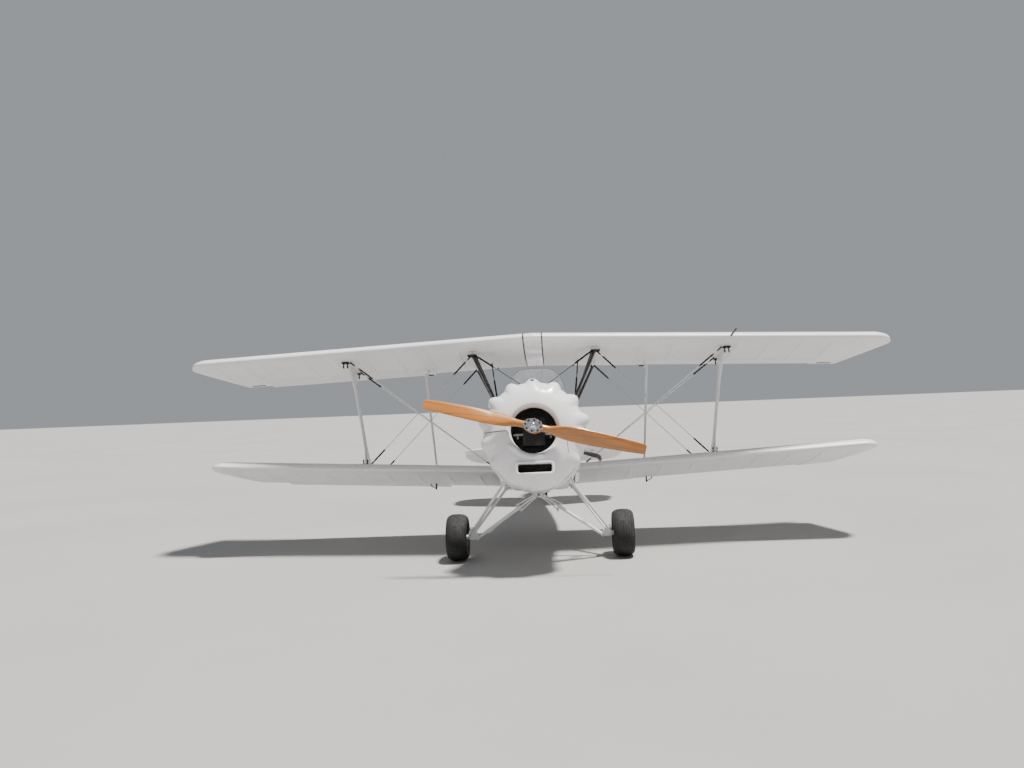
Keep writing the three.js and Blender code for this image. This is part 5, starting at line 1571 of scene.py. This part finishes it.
def fabric_plate(outline, thickness, round_off, ribs, along=0):
    """Both faces of a covered frame, joined at the rim."""
    dense = []
    for a, b in zip(outline, [*outline[1:], outline[0]]):
        steps = max(1, int(math.dist(a, b) / 0.03))
        dense.extend(tuple(np.array(a) + (np.array(b) - np.array(a)) * s / steps) for s in range(steps))
    points, faces = frame_surface(inset_outline(dense, round_off), ribs, along)
    heights = plate_heights(points, dense, thickness, round_off, ribs, along)
    build = Build()
    for sign in (1, -1):
        verts = [(p.x, p.y, sign * h) for p, h in zip(points, heights)]
        build.add(verts, faces if sign > 0 else [tuple(reversed(f)) for f in faces])
    turns = np.linspace(-math.pi / 2, math.pi / 2, 9)
    edge_rows = [inset_outline(dense, round_off * (1 - math.cos(a))) for a in turns]
    rings = []
    for k in range(len(dense)):
        rings.append([(*edge_rows[i][k], thickness / 2 * math.sin(a)) for i, a in enumerate(turns)])
    count = len(turns)
    verts = [p for ring in rings for p in ring]
    rim_faces = []
    for k in range(len(dense)):
        after = (k + 1) % len(dense)
        for i in range(count - 1):
            rim_faces.append((k * count + i, k * count + i + 1, after * count + i + 1, after * count + i))
    return build.add(verts, rim_faces)


def unit(rows):
    """Each row of an array at length one."""
    return rows / np.maximum(np.linalg.norm(rows, axis=1), 1e-9)[:, None]


def inset_outline(outline, distance):
    """Each point of a closed outline moved inwards."""
    pts = np.array(outline)
    ahead = np.roll(pts, -1, axis=0) - pts
    behind = pts - np.roll(pts, 1, axis=0)
    normal = unit(ahead) + unit(behind)
    normal = unit(np.stack([-normal[:, 1], normal[:, 0]], axis=1))
    area = (pts[:, 0] * np.roll(pts[:, 1], -1) - pts[:, 1] * np.roll(pts[:, 0], -1)).sum()
    return [tuple(p) for p in pts + normal * distance * (1 if area > 0 else -1)]


def tail_ribs(start, end, spacing=0.24):
    return list(np.linspace(start, end, max(2, round((end - start) / spacing) + 1)))


def make_tailplane():
    edge = [tuple(p) for p in catmull(TAILPLANE_EDGE, 5)]
    half = [(0.0, 3.040), *edge]
    outline = half + [(-x, y) for x, y in half[::-1] if x > 0]
    ribs = tail_ribs(-0.96, 0.96)
    build = fabric_plate(outline, TAIL_THICKNESS, 0.020, ribs)
    build.moved(Matrix.Translation((0, 0, TAIL_Z)))
    outward(merged(build.object("tailplane_skin", WHITE_FABRIC, "white_fabric", replaces=["tailplane"],
                                smooth=40)))


def make_elevator():
    build = Build()
    edge = [tuple(p) for p in catmull(ELEVATOR_EDGE, 5)]
    for sign in (1, -1):
        half = fabric_plate(edge, ELEVATOR_THICKNESS, 0.012, tail_ribs(0.24, 0.98))
        half.moved(flipped(sign))
        build.add(half.verts, half.faces)
    build.tube([(-TAIL_HALF_SPAN + 0.02, 0, 0), (TAIL_HALF_SPAN - 0.02, 0, 0)], 0.0128, 20)
    build.moved(Matrix.Translation((0, TAIL_HINGE_Y, TAIL_Z)) @ Matrix.Rotation(ELEVATOR_DROOP, 4, "X"))
    outward(merged(build.object("elevator_skin", WHITE_FABRIC, "white_fabric", "elevator", ["elevator"],
                                smooth=40)))


def make_fin():
    edge = [tuple(p) for p in catmull(FIN_EDGE, 5)]
    notch_low, notch_high = TAIL_HINGE_Y - 0.034, TAIL_HINGE_Y + 0.034
    outline = [*edge, (FIN_REAR_Y, 1.186), (notch_high, 1.186), (notch_high, 1.208), (notch_low, 1.208),
               (notch_low, 1.186)]
    build = fabric_plate(outline, 0.030, 0.012, tail_ribs(1.32, 1.62, 0.15), 1)
    build.moved(UPRIGHT)
    outward(merged(build.object("fin_skin", WHITE_FABRIC, "white_fabric", replaces=["fin"], smooth=40)))


def make_rudder():
    edge = [tuple(p) for p in catmull(RUDDER_EDGE, 5)]
    build = fabric_plate(edge, 0.028, 0.013, tail_ribs(1.04, 1.70, 0.165), 1)
    build.moved(UPRIGHT)
    build.tube([(0, 0, 0.900), (0, 0, 1.805)], 0.014, 20)
    build.moved(Matrix.Translation((0, RUDDER_HINGE_Y, 0)))
    outward(merged(build.object("rudder_skin", WHITE_FABRIC, "white_fabric", "rudder", ["rudder"],
                                smooth=40)))


# Turns a plate's (u, v, thickness) into (across, aft, up)
UPRIGHT = Matrix(((0, 0, 1, 0), (1, 0, 0, 0), (0, 1, 0, 0), (0, 0, 0, 1)))


def make_tail_hinges():
    fixed = Build()
    for x in (-0.90, -0.45, -0.12, 0.12, 0.45, 0.90):
        fixed.tube([(x - 0.018, TAIL_HINGE_Y, TAIL_Z), (x + 0.018, TAIL_HINGE_Y, TAIL_Z)], 0.0152, 20)
        fixed.box((x - 0.008, TAIL_HINGE_Y - 0.032, TAIL_Z - 0.006),
                  (x + 0.008, TAIL_HINGE_Y - 0.008, TAIL_Z + 0.006))
    for z in (1.25, 1.45, 1.66):
        fixed.tube([(0, RUDDER_HINGE_Y, z - 0.018), (0, RUDDER_HINGE_Y, z + 0.018)], 0.0162, 20)
        fixed.box((-0.006, FIN_REAR_Y - 0.004, z - 0.008), (0.006, RUDDER_HINGE_Y - 0.010, z + 0.008))
    outward(fixed.object("tail_hinges", CAST_METAL, "cast_metal"))


def make_tail_braces():
    foot, top = Vector((0.062, 3.480, 0.872)), Vector((0.640, 3.560, TAIL_Z - 0.021))
    for side, sign in SIDES:
        brace, metal = Build(), Build()
        faired(brace, foot, top, 0.030, 0.016, 24)
        metal.box((top.x - 0.026, top.y - 0.020, top.z - 0.004),
                  (top.x + 0.026, top.y + 0.020, top.z + 0.001))
        metal.tube([between(top, foot, 0.05), between(top, foot, -0.004)], 0.0095, 14)
        metal.tube([foot, between(foot, top, 0.05)], 0.0100, 14)
        bolt(metal, between(top, foot, 0.02) + Vector((0, -0.009, 0)), (0, -1, 0), 0.006)
        bolt(metal, between(foot, top, 0.03) + Vector((0, -0.010, 0)), (0, -1, 0), 0.006)
        brace.moved(flipped(sign))
        metal.moved(flipped(sign))
        outward(brace.object(f"tail_brace_tube_{side}", WHITE_TUBE, "white_tube",
                             replaces=[f"tail_brace_{side}"]))
        outward(metal.object(f"tail_brace_ends_{side}", POLISHED_METAL, "polished_metal"))


TAILWHEEL_RADIUS = 0.080
TAILWHEEL_Y = 4.075
TAILWHEEL_TRAIL = 0.055
SWIVEL_Y = TAILWHEEL_Y - TAILWHEEL_TRAIL
SWIVEL_HEIGHT = 0.228
LEAF_THICKNESS = 0.006


def level_z(y, ground_height):
    return (ground_height - WHEEL_RADIUS + y * math.sin(ATTITUDE)) / math.cos(ATTITUDE)


TAILWHEEL = Matrix.Translation(LEVEL @ Vector((0, TAILWHEEL_Y, level_z(TAILWHEEL_Y, TAILWHEEL_RADIUS))))


def make_tail_spring():
    top = level_z(SWIVEL_Y, SWIVEL_HEIGHT)
    rows = [(3.430, section_at(3.430)[1] - 0.006), (3.640, section_at(3.640)[1] - 0.006), (3.800, 0.850),
            (SWIVEL_Y, top + 0.010)]
    path = catmull(rows, 8)
    spring = Build()
    for end, lower in ((len(path), 0.0), (20, 0.0062)):
        rings = []
        for y, z in path[:end]:
            low, high = z - lower, z - lower + LEAF_THICKNESS
            rings.append([(-0.024, y, low), (0.024, y, low), (0.024, y, high), (-0.024, y, high)])
        spring.loft(rings)
    for y in (3.47, 3.61):
        z = float(np.interp(y, path[:, 0], path[:, 1]))
        spring.box((-0.036, y - 0.014, z - 0.010), (0.036, y + 0.014, z - 0.0045))
        for x in (-0.030, 0.030):
            bolt(spring, (x, y, z - 0.010), (0, 0, -1), 0.005)
            spring.tube([(x, y, z - 0.008), (x, y, z + 0.016)], 0.004, 10)
    spring.tube([(0, SWIVEL_Y, top - 0.002), (0, SWIVEL_Y, top + 0.034)], 0.022, 28)
    spring.disc((0, SWIVEL_Y, top + 0.034), (0, 0, 1), 0.012, 0.010, 6)
    outward(spring.object("tail_spring_leaves", CAST_METAL, "cast_metal", replaces=["tail_spring"]))


def make_tailwheel():
    top = SWIVEL_HEIGHT - TAILWHEEL_RADIUS - 0.004
    trail = TAILWHEEL_TRAIL
    fork = Build()
    for sign in (1, -1):
        fork.tube([(sign * 0.034, 0, 0), (sign * 0.034, -trail * 0.35, top * 0.30),
                   (sign * 0.036, -trail + 0.004, top - 0.034)], [0.008, 0.0095, 0.0085], 18)
        fork.tube([(sign * 0.040, 0, 0), (sign * 0.028, 0, 0)], 0.013, 24)
        bolt(fork, (sign * 0.040, 0, 0), (sign, 0, 0), 0.009)
        arm = Vector((sign * 0.060, -trail, top - 0.033))
        fork.box((min(arm.x, sign * 0.030), arm.y - 0.006, arm.z - 0.003),
                 (max(arm.x, sign * 0.030), arm.y + 0.006, arm.z + 0.003))
    fork.box((-0.044, -trail - 0.014, top - 0.040), (0.044, -trail + 0.022, top - 0.026), bevel=0.004)
    fork.tube([(0, -trail, top - 0.040), (0, -trail, top)], 0.016, 24)
    fork.tube([(-0.036, 0, 0), (0.036, 0, 0)], 0.006, 16)
    outward(fork.object("tailwheel_fork_casting", CAST_METAL, "cast_metal", "tailwheel_fork",
                        ["tailwheel_fork"], origin=TAILWHEEL))
    tyre = Build().lathe(tyre_profile(TAILWHEEL_RADIUS, 0.022, 0.034, 3, 0.002), (0, 0, 0), (1, 0, 0), 72)
    outward(tyre.object("tailwheel_tread", TYRE_RUBBER, "tyre_rubber", "tailwheel", ["tailwheel_tyre"],
                        origin=TAILWHEEL, smooth=30))
    hub = Build().lathe(wheel_profile(0.034, 0.022, 0.0075), (0, 0, 0), (1, 0, 0), 48)
    outward(hub.object("tailwheel_hub_turned", RIM_METAL, "rim_metal", "tailwheel", ["tailwheel_hub"],
                       origin=TAILWHEEL, smooth=30))


make_tailplane()
make_elevator()
make_fin()
make_rudder()
make_tail_hinges()
make_tail_braces()
make_tail_spring()
make_tailwheel()


# Cockpits

WINDSCREENS = {"front": (0.288, 1.546, 0.430, 0.255), "rear": (0.262, 1.580, 1.330, 0.262)}
SCREEN_LOW = 1.150
SCREEN_FOOT = 1.080


def screen_point(sizes, angle, share, inset=0.0):
    """A point of a windscreen: angle goes round the front, share goes up to the rim."""
    half, rim_z, end_y, depth = sizes
    rim = SCREEN_LOW + (rim_z - SCREEN_LOW) * (1 - math.sin(angle) ** 4) ** 0.4
    lean = 0.060 + 0.110 * math.cos(angle)
    return Vector(((half - inset) * math.sin(angle), end_y - (depth - inset) * math.cos(angle) + lean * share,
                   SCREEN_FOOT + (rim - SCREEN_FOOT) * share))


def make_windscreens():
    for place, sizes in WINDSCREENS.items():
        angles = np.radians(np.linspace(-86, 86, 97))
        feet = []
        for angle in angles:
            share = 0.0
            while share < 0.95:
                p = screen_point(sizes, angle, share)
                if p.z > deck_z(p.x, p.y) + 0.001:
                    break
                share += 0.01
            feet.append(share)
        rings = []
        for angle, foot in zip(angles, feet):
            shares = np.linspace(foot, 1, 14)
            rings.append([screen_point(sizes, angle, s) for s in shares]
                         + [screen_point(sizes, angle, s, 0.004) for s in shares[::-1]])
        screen = Build().loft(rings)
        outward(screen.object(f"windscreen_sheet_{place}", CLEAR_SCREEN, "clear_screen",
                              replaces=[f"windscreen_{place}"], smooth=60))
        trim = Build()
        trim.tube([screen_point(sizes, a, 1, 0.002) for a in angles], 0.0026, 10)
        flange = [screen_point(sizes, a, f + 0.004, -0.001) for a, f in zip(angles, feet)]
        trim.tube(flange, 0.0045, 10)
        for point, after in list(zip(flange, flange[1:]))[4:-4:6]:
            out = (after - point).cross(Vector((0, 0, 1))).normalized()
            out = -out if out.dot(Vector((point.x, point.y - sizes[2], 0))) < 0 else out
            trim.disc(point + out * 0.005, out + Vector((0, 0, 0.8)), 0.005, 0.004, 10, 1)
        outward(trim.object(f"windscreen_trim_{place}", [RIM_METAL, POLISHED_METAL], "rim_metal"))


# Dials: across, height over the longeron, radius, needle angle
DIALS = {
    "front": ((-0.115, 0.110, 0.040, 0.6), (0.0, 0.135, 0.040, 2.2), (0.115, 0.110, 0.040, 3.6),
              (-0.062, 0.035, 0.028, 4.1), (0.062, 0.035, 0.028, 1.2)),
    "rear": ((-0.125, 0.125, 0.040, 1.1), (-0.032, 0.160, 0.040, 3.1), (0.062, 0.155, 0.040, 4.6),
             (0.145, 0.105, 0.028, 0.4), (-0.075, 0.050, 0.028, 2.4), (0.0, 0.062, 0.028, 5.2),
             (0.075, 0.050, 0.028, 3.3)),
}


PANEL_AFT = 0.068


def make_dials():
    for place, rows in DIALS.items():
        y = COCKPITS[place][0] + PANEL_AFT
        build = Build()
        for x, rise, radius, needle in rows:
            centre = Vector((x, y, longeron_z(y) + rise))
            build.lathe([(radius, 0.0), (radius, 0.007), (radius * 0.95, 0.009), (radius * 0.86, 0.008),
                         (radius * 0.85, 0.003), (radius * 0.85, 0.0)], centre, (0, 1, 0), 40, 0)
            build.disc(centre + Vector((0, -0.001, 0)), (0, 1, 0), radius * 0.86, 0.004, 40, 1)
            for a in circle(12):
                out = Vector((math.sin(a), 0, math.cos(a)))
                near, far = centre + out * radius * 0.66, centre + out * radius * 0.78
                build.tube([near + Vector((0, 0.0035, 0)), far + Vector((0, 0.0035, 0))], 0.0009, 6, 2)
            way = Vector((math.sin(needle), 0, math.cos(needle)))
            start, end = centre - way * radius * 0.15, centre + way * radius * 0.6
            build.tube([start + Vector((0, 0.0048, 0)), end + Vector((0, 0.0048, 0))], [0.0016, 0.0006], 6, 2)
            build.disc(centre + Vector((0, 0.003, 0)), (0, 1, 0), radius * 0.10, 0.003, 14, 0)
            for i in range(4):
                a = math.pi / 4 + math.pi / 2 * i
                place_at = centre + Vector((math.cos(a), 0, math.sin(a))) * radius * 1.12
                build.disc(place_at, (0, 1, 0), 0.0028, 0.0018, 10, 3)
        outward(build.object(f"dials_{place}", [BLACK_PAINT, PANEL_FACE, WHITE_PAINT, POLISHED_METAL],
                             "panel_face"))


SEAT_AFT = 0.160
SEAT_DEPTH = 0.380
STICK_AFT = 0.115
SEAT_HALF = {"front": 0.185, "rear": 0.150}


# Shares by which a pad's sides pull in between its corners, and across it at which its seams run
EDGE_PULL = 0.030
PAD_SEAMS = (0.33, 0.67)


def cushion(name, corners, thickness, bulge):
    """A stuffed pad over four corners given counterclockwise."""
    across, along = 25, 25
    a, b, c, d = (Vector(p) for p in corners)
    normal = (b - a).cross(d - a).normalized()
    build = Build()
    rows = []
    for i in range(along):
        v = i / (along - 1)
        row = []
        for j in range(across):
            u = j / (across - 1)
            eu, ev = 2 * u - 1, 2 * v - 1
            uu = u - math.copysign(EDGE_PULL * (1 - ev * ev) * abs(eu) ** 3, eu)
            vv = v - math.copysign(EDGE_PULL * (1 - eu * eu) * abs(ev) ** 3, ev)
            base = a.lerp(b, uu).lerp(d.lerp(c, uu), vv)
            edge = (1 - abs(eu) ** 6) * (1 - abs(ev) ** 6)
            groove = sum(math.exp(-((u - s) / 0.018) ** 2) for s in PAD_SEAMS)
            rise = thickness * (0.35 + 0.65 * edge ** 0.35) + bulge * (1 - eu * eu) * (1 - ev * ev)
            row.append((base, normal * (rise - 0.010 * min(1, groove) * edge)))
        rows.append(row)
    top = [base + rise for row in rows for base, rise in row]
    bottom = [base for row in rows for base, _ in row]
    faces = []
    for i in range(along - 1):
        for j in range(across - 1):
            k = i * across + j
            faces.append((k, k + 1, k + across + 1, k + across))
    count = across * along
    faces += [tuple(count + v for v in reversed(f)) for f in faces]
    border = [*range(across), *(i * across + across - 1 for i in range(1, along))]
    border += [(along - 1) * across + j for j in range(across - 2, -1, -1)]
    border += [i * across for i in range(along - 2, 0, -1)]
    for p, q in zip(border, border[1:] + border[:1]):
        faces.append((p, count + p, count + q, q))
    build.add(top + bottom, faces)
    made = outward(build.object(name, SEAT_COVER, "seat_cover"))
    soften = made.modifiers.new("soft", "SUBSURF")
    soften.levels = soften.render_levels = 1


def cockpit_floor(y):
    return section_at(y)[1] + SKIN + 0.005


def make_seats():
    for place, half in SEAT_HALF.items():
        y = COCKPITS[place][0] + SEAT_AFT
        floor = cockpit_floor(y + SEAT_DEPTH)
        pan = Build()
        pan.box((-half, y, floor), (half, y + SEAT_DEPTH, floor + 0.130), bevel=0.012)
        low, high = Vector((0, y + 0.372, floor + 0.120)), Vector((0, y + 0.462, floor + 0.535))
        back = []
        for x in (-half, half):
            back.append([(x, low.y, low.z), (x, low.y + 0.030, low.z), (x, high.y + 0.026, high.z),
                         (x, high.y, high.z)])
        pan.loft(back)
        outward(pan.object(f"seat_shell_{place}", PANEL_FACE, "panel_face", replaces=[f"seat_{place}"]))
        inset = half - 0.006
        low, high = floor + 0.131, floor + 0.528
        cushion(f"seat_cushion_{place}", [(-inset, y + 0.004, low), (inset, y + 0.004, low),
                                          (inset, y + 0.352, low), (-inset, y + 0.352, low)], 0.042, 0.014)
        cushion(f"seat_back_{place}", [(inset, y + 0.452, high), (-inset, y + 0.452, high),
                                       (-inset, y + 0.368, floor + 0.185), (inset, y + 0.368, floor + 0.185)],
                0.030, 0.012)


def make_sticks():
    for place in COCKPITS:
        y = COCKPITS[place][0] + STICK_AFT
        floor = cockpit_floor(y)
        stick = Build()
        stick.box((-0.040, y - 0.022, floor), (0.040, y + 0.022, floor + 0.030), bevel=0.004)
        for x in (-0.024, 0.024):
            stick.box((x - 0.004, y - 0.016, floor + 0.026), (x + 0.004, y + 0.016, floor + 0.062))
        stick.tube([(0, y, floor + 0.046), (0, y + 0.002, floor + 0.160), (0, y + 0.008, floor + 0.360)],
                   0.0105, 18)
        stick.tube([(-0.030, y, floor + 0.048), (0.030, y, floor + 0.048)], 0.006, 14)
        grip = [(0, y + 0.008 + 0.004 * t, floor + 0.345 + 0.118 * t) for t in np.linspace(0, 1, 17)]
        swell = [0.012 + 0.0045 * math.sin(math.pi * min(1, t * 1.15)) + 0.0010 * math.cos(16 * math.pi * t)
                 for t in np.linspace(0, 1, 17)]
        stick.tube(grip, swell, 22, 1)
        outward(stick.object(f"stick_{place}", [BLACK_PAINT, TYRE_RUBBER], "black_paint",
                             replaces=[f"control_stick_{place}"]))


make_windscreens()
make_dials()
make_seats()
make_sticks()


# Exhaust and pitot tube

def make_exhaust():
    route = catmull([(0.300, -0.360, 0.678), (0.380, -0.362, 0.660), (0.470, -0.340, 0.634),
                     (0.520, -0.270, 0.626), (0.538, -0.160, 0.616)], 8)
    pipe = Build()
    # The outside to the mouth, then a short way back inside
    pipe.tube([*route, *route[:-6:-1]], [0.019] * len(route) + [0.0165] * 5, 28)
    for share in (0.10, 0.24):
        i = int(share * (len(route) - 1))
        at = Vector(route[i])
        way = (Vector(route[i + 1]) - at).normalized()
        pipe.tube([at - way * 0.009, at + way * 0.009], 0.0218, 28, 1)
        pipe.box(tuple(at + Vector((-0.007, -0.030, 0.004))), tuple(at + Vector((0.007, -0.018, 0.016))), 1)
        bolt(pipe, at + Vector((0, -0.030, 0.010)), (0, -1, 0), 0.005, 1)
    outward(pipe.object("exhaust_pipe_bent", [BLACK_PAINT, POLISHED_METAL], "black_paint",
                        replaces=["exhaust_pipe"]))


def make_pitot():
    root = UPPER.point(1.735, 0.02, 0.006)
    nose = root + Vector((0.008, -0.225, 0.012))
    pitot = Build()
    points = [between(nose, root, s) for s in (0.0, 0.02, 0.48, 0.54, 1.0)]
    pitot.tube(points, [0.0035, 0.0062, 0.0068, 0.0088, 0.0088], 20)
    pitot.tube([nose, between(nose, root, -0.012)], [0.0042, 0.0026], 14, 1)
    pitot.disc(between(nose, root, 1.0) + Vector((0, 0.001, 0)), (0, -1, 0), 0.017, 0.005, 24)
    outward(pitot.object("pitot_tube_probe", [BLACK_PAINT, POLISHED_METAL], "black_paint",
                         replaces=["pitot_tube"]))


make_exhaust()
make_pitot()


# Solids that show as they are

SHOWN_AS_PACKED = {"engine_block": DARK_CORE, "instrument_panel_front": PANEL_FACE,
                   "instrument_panel_rear": PANEL_FACE}
for node, material in SHOWN_AS_PACKED.items():
    for material_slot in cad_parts[node].material_slots:
        material_slot.material = material


# Floor and lights

def make_floor():
    nodes = Nodes("studio_floor", Roughness=0.75)
    cloud = nodes.between(nodes.noise(0.4, 4), 0.35, 0.7)
    nodes.color(nodes.mix(cloud, rgb(0.36, 0.355, 0.345), rgb(0.33, 0.326, 0.318)))
    bpy.ops.mesh.primitive_plane_add(size=120, location=(0, 0, -0.001))
    floor = bpy.context.active_object
    floor.name = "studio_floor"
    floor.data.materials.append(nodes.material)


SKY_COLOUR = (0.78, 0.82, 0.88, 1)
SKY_STRENGTH = 0.42
SUN_COLOUR = (1.0, 0.965, 0.91)
SUN_WAY = Vector((-0.27, 0.12, -1.0))
FILL_AT = Vector((-4.5, -8.5, 4.5))
FILL_TOWARDS = Vector((0, -1, 0.8))


def light(name, kind, energy, way):
    """A lamp that shines along a direction."""
    data = bpy.data.lights.new(name, kind)
    data.energy = energy
    lamp = bpy.data.objects.new(name, data)
    lamp.rotation_euler = way.to_track_quat("-Z", "Y").to_euler()
    bpy.context.scene.collection.objects.link(lamp)
    return lamp


def make_lights():
    world = bpy.data.worlds.new("studio")
    world.use_nodes = True
    sky = world.node_tree.nodes["Background"]
    sky.inputs["Color"].default_value = SKY_COLOUR
    sky.inputs["Strength"].default_value = SKY_STRENGTH
    bpy.context.scene.world = world
    key = light("key", "SUN", 9.0, SUN_WAY)
    key.data.angle = math.radians(6)
    key.data.color = SUN_COLOUR
    fill = light("fill", "AREA", 30, FILL_TOWARDS - FILL_AT)
    fill.data.size = 7
    fill.location = FILL_AT


make_floor()
make_lights()
